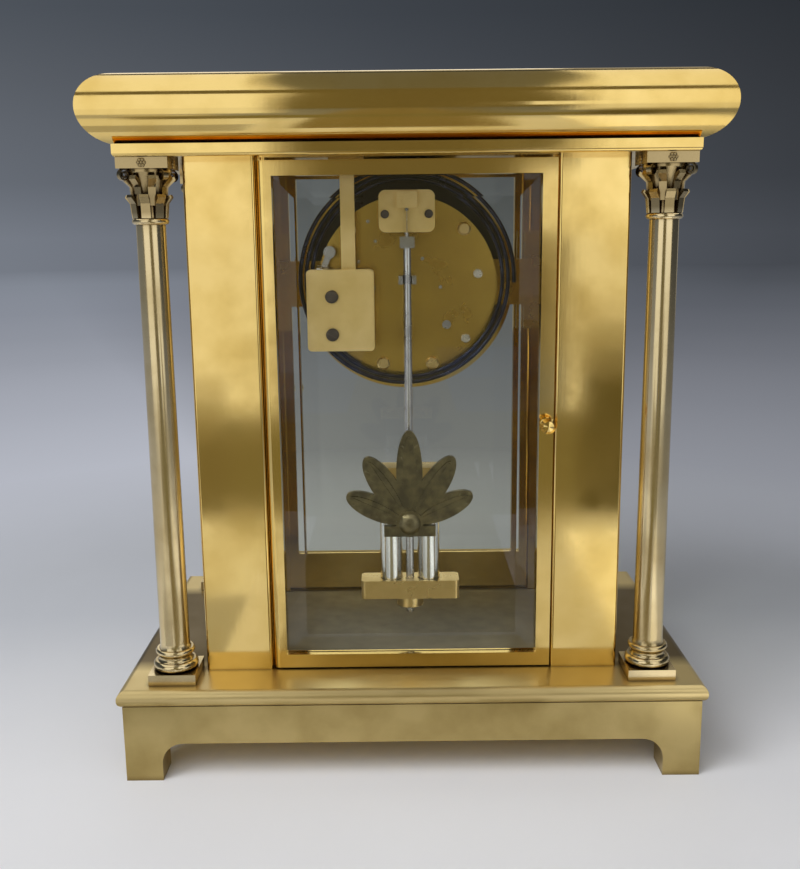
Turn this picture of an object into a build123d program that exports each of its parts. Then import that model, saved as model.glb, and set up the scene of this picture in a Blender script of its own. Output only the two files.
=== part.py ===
"""Small four-glass mantel clock with a striking movement and a mercury pendulum, one file per piece."""

import math
import os

from build123d import *

os.makedirs("parts", exist_ok=True)

# Case in millimetres: X is the width, Y the depth with the dial towards -Y, Z the height
WIDTH = 206.0
DEPTH = 124.0
HEIGHT = 240.0
SLAB_THICKNESS = 22.0
CEILING_THICKNESS = 4.0
BASE_TOP = 34.0
BEAD_HEIGHT = 6.0
PLINTH_INSET = 1.6
PLINTH_WALL = 5.0
SLAB_WALL = 14.0
FOOT_HEIGHT = 14.0
FOOT_LENGTH = 20.6
FOOT_TOE = 13.0
FOOT_DEPTH = 12.0
CEILING_Z = HEIGHT - SLAB_THICKNESS - CEILING_THICKNESS
CLEAR_HEIGHT = CEILING_Z - BASE_TOP

# Dial, which hangs just under the ceiling and sets the width of the door opening
DIAL_RADIUS = 41.6
BEZEL_RADIUS = DIAL_RADIUS + 2.0
DIAL_Z = CEILING_Z - BEZEL_RADIUS - 0.4
OPENING_X = BEZEL_RADIUS + 6.9

# Columns, flat corner posts and glass
COLUMN_X = WIDTH / 2 - 18.6
COLUMN_Y = DEPTH / 2 - 13.7
SHAFT_RADIUS = 5.2
COLUMN_SQUARE = 16.6
CABINET_X = WIDTH / 2 - 28.6
CABINET_Y = DEPTH / 2 - 18.4
POST_DEPTH = 7.0
LIP = 1.5
GLASS_EDGE = 1.3
GLASS_THICKNESS = 1.9
GLASS_MARGIN = 2.4
GLASS_BEVEL = 7.0
GLASS_SEAT = 1.0
SIDE_GLASS_X = CABINET_X - 4.0
SIDE_GROOVE = 1.55
SIDE_GROOVE_DEPTH = 3.0
FLOOR_THICKNESS = 0.8

# Doors: the rear one is drawn, and the front one is the same form turned half round
DOOR_GAP = 0.4
DOOR_THICKNESS = 4.6
DOOR_STILE = 5.0
REAR_RAIL = 5.0
FRONT_RAIL = 17.0
DOOR_OUT = CABINET_Y - 0.3
DOOR_IN = DOOR_OUT - DOOR_THICKNESS
DOOR_X = OPENING_X - DOOR_GAP
DOOR_LOW = BASE_TOP + 0.5
DOOR_HIGH = CEILING_Z - 0.5
HINGE_X = DOOR_X - DOOR_THICKNESS / 2
HINGE_Y = DOOR_OUT - DOOR_THICKNESS / 2
PIN_RADIUS = 1.0
PIN_LENGTH = 2.6
DOOR_GROOVE = 1.2
GROOVE_DEPTH = 2.2
RUNNING = 0.05

# Movement: plates, brackets and the depths that follow from the doors
PLATE_RADIUS = 33.0
PLATE = 2.0
DIAL_THICKNESS = 1.2
DIAL_FOOT_RADIUS = 1.2
HAND_HOLE = 3.4
KEY_HOLE = 3.2
HOUR_SHORT = 17.6
MINUTE_SHORT = 5.6
BRACKET_SHEET = 2.4
BRACKET_HALF = 20.0
WEB_HALF = 9.0
WEB_X = BEZEL_RADIUS + 2.1
FLANGE_SHARE = 0.56
DIAL_Y = -DOOR_IN + 6.7
FRONT_OUT = DIAL_Y + 12.0
FRONT_IN = FRONT_OUT + PLATE
PLATE_GAP = 2 * DOOR_IN - 49.4
BACK_IN = FRONT_IN + PLATE_GAP
BACK_OUT = BACK_IN + PLATE
PILLAR_CIRCLE = 29.5
PILLAR_RADIUS = 2.2
ARBOR_RADIUS = 0.9
PIVOT_RADIUS = 0.6
PILLAR_TENON = 1.2
END_PLAY = 0.15
PIVOT_SHORT = 0.2
WINDING_RADIUS = 2.0
WINDING_PIVOT = 1.6
CLICK_STUD = 0.7
MINUTE_STUD = 0.8
CANNON_RADIUS = 1.5
HOUR_PIPE = 2.3
WINDING_X = 14.5
WINDING_DROP = 14.0
RATCHET_TEETH = 20
RATCHET_RADIUS = 5.0

# Wheel work: teeth and modules, with one thin tooth form for wheels and one for pinions
BARREL_TEETH = 60
BARREL_PINION = 10
BARREL_MODULE = 0.40
SECOND_TEETH = 60
CENTRE_PINION = 8
SECOND_MODULE = 0.36
CENTRE_TEETH = 72
THIRD_PINION = 6
CENTRE_MODULE = 0.30
THIRD_TEETH = 68
ESCAPE_PINION = 6
THIRD_MODULE = 0.27
ESCAPE_TEETH = 36
ESCAPE_RADIUS = 6.8
STRIKE_TEETH = 60
PIN_PINION = 8
STRIKE_MODULE = 0.32
PIN_TEETH = 56
LOCK_PINION = 8
PIN_MODULE = 0.30
LOCK_TEETH = 48
FLY_PINION = 6
LOCK_MODULE = 0.28
CANNON_TEETH = 12
MINUTE_TEETH = 36
MOTION_MODULE = 0.34
MINUTE_PINION = 10
HOUR_TEETH = 40
PIN_CIRCLE = 7.4
MESH_GAP = 0.02
WHEEL_TOOTH = (0.75, 1.15, 0.29, 0.10)
PINION_TOOTH = (0.65, 1.10, 0.26, 0.10)

# Escapement and pendulum
ESCAPE_RISE = 18.5
PALLET_ANGLE = 42.5
SWING = 3.5
PENDULUM_Y = BACK_OUT + 9.8
ROD_RADIUS = 1.5
BOB_LOW = BASE_TOP + 20.5
BOB_RISE = 46.0
ORNAMENT_RISE = 30.0
VIAL_RADIUS = 4.2
VIAL_WALL = 0.6
VIAL_X = 7.0

# Gong: a flat spiral of half turns, one quarter turn out to its block
GONG_Y = BACK_OUT + 4.0
GONG_Z = CEILING_Z - 41.0
GONG_RADIUS = 34.6
GONG_PITCH = 2.1
GONG_WIRE = 1.5
GONG_HALF_TURNS = 5
GONG_BLOCK_Y = GONG_Y + 2 * GONG_WIRE


def save(node, shape):
    """Label a piece and write it to its own file."""
    shape.label = node
    export_step(shape, os.path.join("parts", node + ".step"))


def box(x, y, z, mode=Mode.ADD):
    """Box given by its (low, high) limits along each axis."""
    with Locations(((x[0] + x[1]) / 2, (y[0] + y[1]) / 2, (z[0] + z[1]) / 2)):
        Box(abs(x[1] - x[0]), abs(y[1] - y[0]), abs(z[1] - z[0]), mode=mode)


def bar(place, y0, y1, radius, mode=Mode.ADD):
    """Round bar along Y through the (x, z) place."""
    with Locations((place[0], (y0 + y1) / 2, place[1])):
        Cylinder(radius, abs(y1 - y0), rotation=(90, 0, 0), mode=mode)


def at_depth(y):
    """Sketch plane across the clock, whose own axes are X and Z."""
    return Plane(origin=(0, y, 0), x_dir=(1, 0, 0), z_dir=(0, -1, 0))


def prism(points, y0, y1, mode=Mode.ADD):
    """Prism along Y of a closed outline of (x, z) points."""
    with BuildSketch(at_depth(y0)) as outline:
        with BuildLine():
            Polyline(*points, close=True)
        make_face()
    extrude(outline.sketch, amount=y0 - y1, mode=mode)


def turned(place, points):
    """Solid turned about the line along Y through a place, from (radius, depth) points."""
    with BuildSketch(Plane.XY.offset(place[1])) as profile:
        with BuildLine():
            Polyline(*[(place[0] + r, y) for r, y in points], close=True)
        make_face()
    revolve(profile.sketch, axis=Axis((place[0], 0, place[1]), (0, 1, 0)))


def strut(start, end, width):
    """Outline of a straight strip from one place to another."""
    length = math.dist(start, end)
    side_x = (start[1] - end[1]) / length * width / 2
    side_z = (end[0] - start[0]) / length * width / 2
    return [
        (start[0] + side_x, start[1] + side_z),
        (end[0] + side_x, end[1] + side_z),
        (end[0] - side_x, end[1] - side_z),
        (start[0] - side_x, start[1] - side_z),
    ]


def polar(centre, radius, degrees):
    """Place at a distance and an angle from a centre, the angle turning from +X towards +Z."""
    angle = math.radians(degrees)
    return (centre[0] + radius * math.cos(angle), centre[1] + radius * math.sin(angle))


def rounded_slab(width, depth, low, high, radius):
    """Flat slab whose four edges are rounded all along, with mitred corners."""
    middle = (low + high) / 2
    with BuildSketch(Plane.XZ) as across:
        with Locations((0, middle)):
            RectangleRounded(width, high - low, radius)
    extrude(across.sketch, amount=depth, both=True)
    with BuildSketch(Plane.YZ) as along:
        with Locations((0, middle)):
            RectangleRounded(depth, high - low, radius)
    extrude(along.sketch, amount=width, both=True, mode=Mode.INTERSECT)


def teeth_outline(place, teeth, module, phase, form):
    """Outline of a toothed wheel: root, tip, tip and root of each tooth."""
    addendum, dedendum, root_half, tip_half = form
    pitch = 2 * math.pi / teeth
    root = module * (teeth / 2 - dedendum)
    tip = module * (teeth / 2 + addendum)
    points = []
    for tooth in range(teeth):
        centre = phase + tooth * pitch
        for radius, share in ((root, -root_half), (tip, -tip_half), (tip, tip_half), (root, root_half)):
            angle = centre + share * pitch
            points.append((place[0] + radius * math.cos(angle), place[1] + radius * math.sin(angle)))
    return points


def mesh_phase(driver, driver_teeth, driver_phase, driven, driven_teeth):
    """Phase that puts a gap of the driven wheel on each tooth of the driver."""
    line = math.atan2(driven[1] - driver[1], driven[0] - driver[0])
    return line + math.pi - driver_teeth / driven_teeth * (driver_phase - line) - math.pi / driven_teeth


def crossed_wheel(place, outline, y0, y1, rim, hub, spokes):
    """Toothed wheel with its web cut out between spokes."""
    with BuildSketch(at_depth(y0)) as web:
        with BuildLine():
            Polyline(*outline, close=True)
        make_face()
        with Locations(place):
            Circle(rim, mode=Mode.SUBTRACT)
            Circle(hub)
            with PolarLocations((rim + hub) / 2, spokes, 25):
                Rectangle(rim - hub + 0.8, rim * 0.17)
    extrude(web.sketch, amount=y0 - y1)


def arbor(place, radius=ARBOR_RADIUS, pivot=PIVOT_RADIUS):
    """Arbor with shoulders between the plates and a pivot in each plate."""
    bar(place, FRONT_IN + END_PLAY, BACK_IN - END_PLAY, radius)
    bar(place, FRONT_OUT + PIVOT_SHORT, BACK_OUT - PIVOT_SHORT, pivot)


def level(share):
    """Depth at a share, in 28ths, of the space between the plates."""
    return FRONT_IN + share * PLATE_GAP / 28


def meeting(first, first_distance, second, second_distance, side):
    """Place at two given distances from two centres, on one side of the line between them."""
    span = math.dist(first, second)
    along = (first_distance**2 - second_distance**2 + span**2) / (2 * span)
    across = side * math.sqrt(first_distance**2 - along**2)
    unit_x = (second[0] - first[0]) / span
    unit_z = (second[1] - first[1]) / span
    return (first[0] + along * unit_x - across * unit_z, first[1] + along * unit_z + across * unit_x)


def spacing(module, first_teeth, second_teeth):
    """Distance between two meshed centres."""
    return module * (first_teeth + second_teeth) / 2 + MESH_GAP


# Places of the arbors, as (x, z)
CENTRE = (0.0, DIAL_Z)
GOING = (-WINDING_X, DIAL_Z - WINDING_DROP)
STRIKE = (WINDING_X, DIAL_Z - WINDING_DROP)
ESCAPE = (0.0, DIAL_Z + ESCAPE_RISE)
BARREL_REACH = spacing(BARREL_MODULE, BARREL_TEETH, BARREL_PINION)
SECOND_REACH = spacing(SECOND_MODULE, SECOND_TEETH, CENTRE_PINION)
SECOND = meeting(CENTRE, SECOND_REACH, GOING, BARREL_REACH, -1)
STRIKE_SECOND = (-SECOND[0], SECOND[1])
THIRD = meeting(
    CENTRE,
    spacing(CENTRE_MODULE, CENTRE_TEETH, THIRD_PINION),
    ESCAPE,
    spacing(THIRD_MODULE, THIRD_TEETH, ESCAPE_PINION),
    1,
)
PIN_WHEEL = polar(STRIKE_SECOND, spacing(STRIKE_MODULE, STRIKE_TEETH, PIN_PINION), 60)
LOCK = polar(PIN_WHEEL, spacing(PIN_MODULE, PIN_TEETH, LOCK_PINION), 130)
FLY = polar(LOCK, spacing(LOCK_MODULE, LOCK_TEETH, FLY_PINION), 70)
ANCHOR = (0.0, ESCAPE[1] + ESCAPE_RADIUS / math.cos(math.radians(PALLET_ANGLE)))
HAMMER = (28.0, DIAL_Z + 13.0)
MOTION_REACH = spacing(MOTION_MODULE, CANNON_TEETH, MINUTE_TEETH)
MINUTE = (0.0, DIAL_Z + MOTION_REACH)
HOUR_MODULE = (MOTION_REACH - MESH_GAP) * 2 / (MINUTE_PINION + HOUR_TEETH)
PILLARS = [polar(CENTRE, PILLAR_CIRCLE, angle) for angle in (45, 135, 252, 288)]
DIAL_FEET = [polar(CENTRE, 28.0, angle) for angle in (90, 210, 330)]
PIVOTED = [SECOND, CENTRE, THIRD, ESCAPE, STRIKE_SECOND, PIN_WHEEL, LOCK, FLY, HAMMER]

# Plinth: a hollow casting with a rounded bead along its top edge
with BuildPart() as plinth:
    rounded_slab(WIDTH, DEPTH, BASE_TOP - BEAD_HEIGHT, BASE_TOP, BEAD_HEIGHT * 0.45)
    block_x = WIDTH / 2 - PLINTH_INSET
    block_y = DEPTH / 2 - PLINTH_INSET
    box((-block_x, block_x), (-block_y, block_y), (FOOT_HEIGHT, BASE_TOP - BEAD_HEIGHT))
    hollow_x = block_x - PLINTH_WALL
    hollow_y = block_y - PLINTH_WALL
    box(
        (-hollow_x, hollow_x),
        (-hollow_y, hollow_y),
        (FOOT_HEIGHT, BASE_TOP - BEAD_HEIGHT),
        Mode.SUBTRACT,
    )
    for side in (1, -1):
        with Locations((side * HINGE_X, side * HINGE_Y, BASE_TOP - PIN_LENGTH / 2)):
            Cylinder(PIN_RADIUS + RUNNING, PIN_LENGTH, mode=Mode.SUBTRACT)
save("plinth", plinth.part)

with BuildPart() as bottom_plate:
    box((-hollow_x, hollow_x), (-hollow_y, hollow_y), (FOOT_HEIGHT, FOOT_HEIGHT + 1.5))
save("bottom_plate", bottom_plate.part)

with BuildPart() as floor_panel:
    floor_x = SIDE_GLASS_X - GLASS_SEAT - 0.5
    floor_y = CABINET_Y - POST_DEPTH - 0.5
    box((-floor_x, floor_x), (-floor_y, floor_y), (BASE_TOP, BASE_TOP + FLOOR_THICKNESS))
save("floor_panel", floor_panel.part)

# Bracket feet: two arms round each corner, each with a hollow curve on its inner end
with BuildPart() as bracket_feet:
    for side_x in (1, -1):
        for side_y in (1, -1):
            corner_x = side_x * block_x
            corner_y = side_y * block_y
            curve = FOOT_LENGTH - FOOT_TOE
            with BuildSketch(Plane.XZ.offset(-corner_y)):
                with BuildLine():
                    Polyline(
                        (corner_x - side_x * FOOT_LENGTH, FOOT_HEIGHT),
                        (corner_x, FOOT_HEIGHT),
                        (corner_x, 0),
                        (corner_x - side_x * FOOT_TOE, 0),
                        (corner_x - side_x * FOOT_TOE, FOOT_HEIGHT - curve),
                    )
                    ThreePointArc(
                        (corner_x - side_x * FOOT_TOE, FOOT_HEIGHT - curve),
                        (corner_x - side_x * (FOOT_TOE + curve * 0.293), FOOT_HEIGHT - curve * 0.293),
                        (corner_x - side_x * FOOT_LENGTH, FOOT_HEIGHT),
                    )
                make_face()
            extrude(amount=side_y * FOOT_DEPTH)
            with BuildSketch(Plane.YZ.offset(corner_x)):
                with BuildLine():
                    Polyline(
                        (corner_y - side_y * FOOT_LENGTH, FOOT_HEIGHT),
                        (corner_y, FOOT_HEIGHT),
                        (corner_y, 0),
                        (corner_y - side_y * FOOT_TOE, 0),
                        (corner_y - side_y * FOOT_TOE, FOOT_HEIGHT - curve),
                    )
                    ThreePointArc(
                        (corner_y - side_y * FOOT_TOE, FOOT_HEIGHT - curve),
                        (corner_y - side_y * (FOOT_TOE + curve * 0.293), FOOT_HEIGHT - curve * 0.293),
                        (corner_y - side_y * FOOT_LENGTH, FOOT_HEIGHT),
                    )
                make_face()
            extrude(amount=-side_x * FOOT_DEPTH)
save("bracket_feet", bracket_feet.part)

# Top: a ceiling plate on the columns and posts, and a hollow slab with fully rounded edges
with BuildPart() as ceiling_plate:
    ceiling_x = COLUMN_X + COLUMN_SQUARE / 2 + 0.8
    ceiling_y = COLUMN_Y + COLUMN_SQUARE / 2 + 0.8
    box((-ceiling_x, ceiling_x), (-ceiling_y, ceiling_y), (CEILING_Z, CEILING_Z + CEILING_THICKNESS))
    fillet(ceiling_plate.faces().sort_by(Axis.Z)[0].edges(), 1.2)
    for side in (1, -1):
        with Locations((side * HINGE_X, side * HINGE_Y, CEILING_Z + PIN_LENGTH / 2)):
            Cylinder(PIN_RADIUS + RUNNING, PIN_LENGTH, mode=Mode.SUBTRACT)
save("ceiling_plate", ceiling_plate.part)

with BuildPart() as top_slab:
    slab_low = HEIGHT - SLAB_THICKNESS
    rounded_slab(WIDTH, DEPTH, slab_low, HEIGHT, SLAB_THICKNESS * 0.495)
    slab_x = WIDTH / 2 - SLAB_WALL
    slab_y = DEPTH / 2 - SLAB_WALL
    box((-slab_x, slab_x), (-slab_y, slab_y), (slab_low, HEIGHT - PLINTH_WALL), Mode.SUBTRACT)
save("top_slab", top_slab.part)

# Columns: turned base and tapered shaft, and a bell capital with two rings of leaves


def leaf(low, high, reach, width):
    """One leaf of a capital: a tapering blade that curls outwards at its tip."""
    with BuildPart() as blade:
        rise = high - low
        with BuildSketch(Plane.XZ):
            with BuildLine():
                Polyline(
                    (4.2, low),
                    (5.6, low),
                    (6.1, low + rise * 0.62),
                    (reach, low + rise * 0.88),
                    (reach - 0.4, high),
                    (5.8, low + rise * 0.86),
                    (4.2, low + rise * 0.80),
                    close=True,
                )
            make_face()
        extrude(amount=width / 2, both=True)
    return blade.part


with BuildPart() as column:
    half = COLUMN_SQUARE / 2
    box((-half, half), (-half, half), (0, 4))
    with BuildSketch(Plane.XZ):
        with BuildLine():
            neck = CLEAR_HEIGHT - 21
            Line((0, 4), (7.0, 4))
            ThreePointArc((7.0, 4), (7.9, 5.6), (7.0, 7.2))
            Line((7.0, 7.2), (6.3, 7.2))
            ThreePointArc((6.3, 7.2), (5.7, 8.4), (6.3, 9.6))
            ThreePointArc((6.3, 9.6), (6.9, 10.6), (6.3, 11.6))
            Line((6.3, 11.6), (SHAFT_RADIUS + 0.4, 11.6))
            ThreePointArc(
                (SHAFT_RADIUS + 0.4, 11.6), (SHAFT_RADIUS + 0.15, 12.4), (SHAFT_RADIUS, 13.6)
            )
            Line((SHAFT_RADIUS, 13.6), (SHAFT_RADIUS - 0.4, neck))
            Line((SHAFT_RADIUS - 0.4, neck), (SHAFT_RADIUS + 0.1, neck))
            ThreePointArc(
                (SHAFT_RADIUS + 0.1, neck), (SHAFT_RADIUS + 0.8, neck + 1), (SHAFT_RADIUS + 0.1, neck + 2)
            )
            Line((SHAFT_RADIUS + 0.1, neck + 2), (4.8, neck + 2))
            ThreePointArc((4.8, neck + 2), (5.3, neck + 11), (7.6, neck + 16.5))
            Line((7.6, neck + 16.5), (7.6, neck + 17.5))
            Line((7.6, neck + 17.5), (0, neck + 17.5))
            Line((0, neck + 17.5), (0, 4))
        make_face()
    revolve(axis=Axis.Z)
    box((-half, half), (-half, half), (neck + 17.5, CLEAR_HEIGHT))
    with PolarLocations(0, 8):
        add(leaf(neck + 2, neck + 9.5, 7.6, 3.0))
    with PolarLocations(0, 8, 22.5):
        add(leaf(neck + 6, neck + 15.4, 8.6, 2.4))

for end, side_y in (("front", -1), ("rear", 1)):
    for hand, side_x in (("left", -1), ("right", 1)):
        stand = Location((side_x * COLUMN_X, side_y * COLUMN_Y, BASE_TOP))
        save(f"column_{end}_{hand}", column.part.moved(stand))

# Corner posts: broad flat pilasters with a door stop and a groove for the side glass
for end, side_y in (("front", -1), ("rear", 1)):
    for hand, side_x in (("left", -1), ("right", 1)):
        with BuildPart() as post:
            outer = side_y * CABINET_Y
            inner = side_y * (CABINET_Y - POST_DEPTH)
            box((side_x * OPENING_X, side_x * CABINET_X), (inner, outer), (BASE_TOP, CEILING_Z))
            fillet(post.faces().sort_by(Axis.Y)[0 if side_y < 0 else -1].edges().filter_by(Axis.Z), 1.0)
            box(
                (side_x * (OPENING_X - LIP), side_x * OPENING_X),
                (inner, side_y * (DOOR_IN - 0.3)),
                (BASE_TOP, CEILING_Z),
            )
            box(
                (side_x * (SIDE_GLASS_X - SIDE_GROOVE), side_x * (SIDE_GLASS_X + SIDE_GROOVE)),
                (inner - side_y, inner + side_y * SIDE_GROOVE_DEPTH),
                (BASE_TOP, CEILING_Z),
                Mode.SUBTRACT,
            )
        save(f"post_{end}_{hand}", post.part)


def bevelled_glass(width, height, bevel):
    """Pane lying flat, with a thin flat margin and a bevel up to its full thickness."""
    with BuildPart() as pane:
        with BuildSketch():
            Rectangle(width, height)
        extrude(amount=GLASS_EDGE)
        inset = 2 * GLASS_MARGIN
        with BuildSketch(Plane.XY.offset(GLASS_EDGE)):
            Rectangle(width - inset, height - inset)
        inset += 2 * bevel
        with BuildSketch(Plane.XY.offset(GLASS_THICKNESS)):
            Rectangle(width - inset, height - inset)
        loft(ruled=True)
    return pane.part


middle_z = (BASE_TOP + CEILING_Z) / 2
side_width = 2 * (CABINET_Y - POST_DEPTH + SIDE_GROOVE_DEPTH - 0.1)
side_pane = bevelled_glass(side_width, CLEAR_HEIGHT, GLASS_BEVEL)
for hand, side_x in (("left", -1), ("right", 1)):
    facing = Plane(
        origin=(side_x * (SIDE_GLASS_X - GLASS_SEAT), 0, middle_z),
        x_dir=(0, side_x, 0),
        z_dir=(side_x, 0, 0),
    )
    save(f"side_glass_{hand}", facing.location * side_pane)

# Doors: slim frame with its two hinge pins, bevelled pane in a groove, and a turned knob
KNOB_X = -(DOOR_X - DOOR_STILE / 2)
TURNED_ROUND = Location((0, 0, 0), (0, 0, 180))


def door_frame(rail):
    """Door frame at the rear, hinged at +X on pins in the plinth and the ceiling."""
    with BuildPart() as frame:
        box((-DOOR_X, DOOR_X), (DOOR_IN, DOOR_OUT), (DOOR_LOW, DOOR_HIGH))
        hinge_edges = frame.faces().sort_by(Axis.X)[-1].edges().filter_by(Axis.Z)
        fillet(hinge_edges, DOOR_THICKNESS * 0.49)
        clear = DOOR_X - DOOR_STILE
        box(
            (-clear, clear),
            (DOOR_IN - 1, DOOR_OUT + 1),
            (DOOR_LOW + rail, DOOR_HIGH - REAR_RAIL),
            Mode.SUBTRACT,
        )
        groove = clear + GROOVE_DEPTH
        box(
            (-groove, groove),
            (DOOR_IN + DOOR_GROOVE, DOOR_IN + DOOR_GROOVE + 0.04 + GLASS_EDGE),
            (DOOR_LOW + rail - GROOVE_DEPTH, DOOR_HIGH - REAR_RAIL + GROOVE_DEPTH),
            Mode.SUBTRACT,
        )
        for low, high in ((DOOR_LOW - PIN_LENGTH, DOOR_LOW), (DOOR_HIGH, DOOR_HIGH + PIN_LENGTH)):
            with Locations((HINGE_X, HINGE_Y, (low + high) / 2)):
                Cylinder(PIN_RADIUS, high - low)
    return frame.part


def door_glass(rail):
    """Pane of a rear door, bevelled on its outer face."""
    held = GROOVE_DEPTH - 0.1
    low = DOOR_LOW + rail - held
    high = DOOR_HIGH - REAR_RAIL + held
    pane = bevelled_glass(2 * (DOOR_X - DOOR_STILE + held), high - low, GLASS_BEVEL)
    seat = (0, DOOR_IN + DOOR_GROOVE + 0.02, (low + high) / 2)
    facing = Plane(origin=seat, x_dir=(-1, 0, 0), z_dir=(0, 1, 0))
    return facing.location * pane


def door_knob():
    """Turned knob on the free stile of a rear door."""
    with BuildPart() as knob:
        turned(
            (KNOB_X, middle_z),
            [
                (0, DOOR_OUT),
                (2.2, DOOR_OUT),
                (2.2, DOOR_OUT + 0.8),
                (1.2, DOOR_OUT + 1.4),
                (1.2, DOOR_OUT + 2.4),
                (2.6, DOOR_OUT + 3.4),
                (2.8, DOOR_OUT + 4.6),
                (1.8, DOOR_OUT + 5.8),
                (0, DOOR_OUT + 6.2),
            ],
        )
    return knob.part


save("rear_door_frame", door_frame(REAR_RAIL))
save("rear_door_glass", door_glass(REAR_RAIL))
save("rear_door_knob", door_knob())
save("front_door_frame", TURNED_ROUND * door_frame(FRONT_RAIL))
save("front_door_glass", TURNED_ROUND * door_glass(FRONT_RAIL))
save("front_door_knob", TURNED_ROUND * door_knob())

# Dial on three feet, with its bezel
with BuildPart() as dial_plate:
    bar(CENTRE, DIAL_Y, DIAL_Y + DIAL_THICKNESS, DIAL_RADIUS)
    bar(CENTRE, DIAL_Y - 1, DIAL_Y + 2, HAND_HOLE, Mode.SUBTRACT)
    for place in (GOING, STRIKE):
        bar(place, DIAL_Y - 1, DIAL_Y + 2, KEY_HOLE, Mode.SUBTRACT)
    for place in DIAL_FEET:
        bar(place, DIAL_Y + DIAL_THICKNESS, FRONT_OUT, DIAL_FOOT_RADIUS)
save("dial_plate", dial_plate.part)

with BuildPart() as dial_bezel:
    turned(
        CENTRE,
        [
            (DIAL_RADIUS - 2.0, DIAL_Y),
            (DIAL_RADIUS - 2.0, DIAL_Y - 1.0),
            (DIAL_RADIUS - 1.0, DIAL_Y - 2.6),
            (DIAL_RADIUS + 0.4, DIAL_Y - 3.2),
            (BEZEL_RADIUS - 0.5, DIAL_Y - 2.6),
            (BEZEL_RADIUS, DIAL_Y - 1.4),
            (BEZEL_RADIUS, DIAL_Y + 1.8),
            (DIAL_RADIUS, DIAL_Y + 1.8),
            (DIAL_RADIUS, DIAL_Y),
        ],
    )
save("dial_bezel", dial_bezel.part)

# Movement brackets: each runs from the back of a front post round the dial to the front plate
for hand, side_x in (("left", -1), ("right", 1)):
    with BuildPart() as bracket:
        post_back = -(CABINET_Y - POST_DEPTH)
        flange_x = OPENING_X + (SIDE_GLASS_X - OPENING_X) * FLANGE_SHARE
        web = (side_x * WEB_X, side_x * (WEB_X + BRACKET_SHEET))
        lug_x = PLATE_RADIUS - 7.5
        web_z = (DIAL_Z - WEB_HALF, DIAL_Z + WEB_HALF)
        box(
            (side_x * WEB_X, side_x * flange_x),
            (post_back, post_back + BRACKET_SHEET),
            (DIAL_Z - BRACKET_HALF, DIAL_Z + BRACKET_HALF),
        )
        box(web, (post_back, FRONT_OUT), web_z)
        box((side_x * lug_x, web[1]), (FRONT_OUT - BRACKET_SHEET, FRONT_OUT), web_z)
    save(f"movement_bracket_{hand}", bracket.part)

# Click pivots and noses; the clicks ride just clear of the ratchet tips, as they do while winding
CLICK_REACH = RATCHET_RADIUS + 3.5
CLICK_DEPTH = (FRONT_OUT - 1.7, FRONT_OUT - 0.3)
CLICK_PIVOT = {"going": polar(GOING, CLICK_REACH, 270), "strike": polar(STRIKE, CLICK_REACH, 270)}

# Plates, pillars and the studs that the front plate carries
with BuildPart() as front_plate:
    bar(CENTRE, FRONT_OUT, FRONT_IN, PLATE_RADIUS)
    for place in PIVOTED + [ANCHOR]:
        bar(place, FRONT_OUT - 1, FRONT_IN + 1, PIVOT_RADIUS + RUNNING, Mode.SUBTRACT)
    bar(CENTRE, FRONT_OUT - 1, FRONT_IN + 1, ARBOR_RADIUS + RUNNING, Mode.SUBTRACT)
    for place in (GOING, STRIKE):
        bar(place, FRONT_OUT - 1, FRONT_IN + 1, WINDING_PIVOT + RUNNING, Mode.SUBTRACT)
    bar(MINUTE, FRONT_OUT - 5.6, FRONT_OUT, MINUTE_STUD)
    for place in CLICK_PIVOT.values():
        bar(place, FRONT_OUT - 2.2, FRONT_OUT, CLICK_STUD)
save("front_plate", front_plate.part)

with BuildPart() as back_plate:
    bar(CENTRE, BACK_IN, BACK_OUT, PLATE_RADIUS)
    for place in PIVOTED:
        bar(place, BACK_IN - 1, BACK_OUT + 1, PIVOT_RADIUS + RUNNING, Mode.SUBTRACT)
    bar(HAMMER, BACK_IN - 1, BACK_OUT + 1, ARBOR_RADIUS + RUNNING, Mode.SUBTRACT)
    bar(ANCHOR, BACK_IN - 1, BACK_OUT + 1, 2.6, Mode.SUBTRACT)
    for place in (GOING, STRIKE):
        bar(place, BACK_IN - 1, BACK_OUT + 1, WINDING_PIVOT + RUNNING, Mode.SUBTRACT)
    for place in PILLARS:
        bar(place, BACK_IN - 1, BACK_OUT + 1, PILLAR_TENON, Mode.SUBTRACT)
save("back_plate", back_plate.part)

with BuildPart() as pillars:
    for place in PILLARS:
        turned(
            place,
            [
                (0, FRONT_IN),
                (PILLAR_RADIUS, FRONT_IN),
                (PILLAR_RADIUS, level(3)),
                (PILLAR_RADIUS - 0.7, level(5)),
                (PILLAR_RADIUS - 0.7, level(12)),
                (PILLAR_RADIUS, level(13)),
                (PILLAR_RADIUS, level(15)),
                (PILLAR_RADIUS - 0.7, level(16)),
                (PILLAR_RADIUS - 0.7, level(23)),
                (PILLAR_RADIUS, level(25)),
                (PILLAR_RADIUS, BACK_IN),
                (PILLAR_TENON, BACK_IN),
                (PILLAR_TENON, BACK_OUT),
                (PILLAR_RADIUS + 0.2, BACK_OUT),
                (PILLAR_RADIUS + 0.2, BACK_OUT + 1.2),
                (PILLAR_RADIUS - 0.4, BACK_OUT + 1.7),
                (0, BACK_OUT + 1.7),
            ],
        )
save("pillars", pillars.part)


def barrel(place):
    """Spring barrel: plain drum with a toothed flange, bored for its arbor."""
    with BuildPart() as drum:
        outline = teeth_outline(place, BARREL_TEETH, BARREL_MODULE, 0, WHEEL_TOOTH)
        prism(outline, level(15), level(17))
        bar(place, level(2), level(15), BARREL_MODULE * BARREL_TEETH / 2 - 0.6)
        bar(place, level(1), level(2), 4.0)
        bar(place, level(0), level(18), WINDING_RADIUS + RUNNING, Mode.SUBTRACT)
    return drum.part


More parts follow.
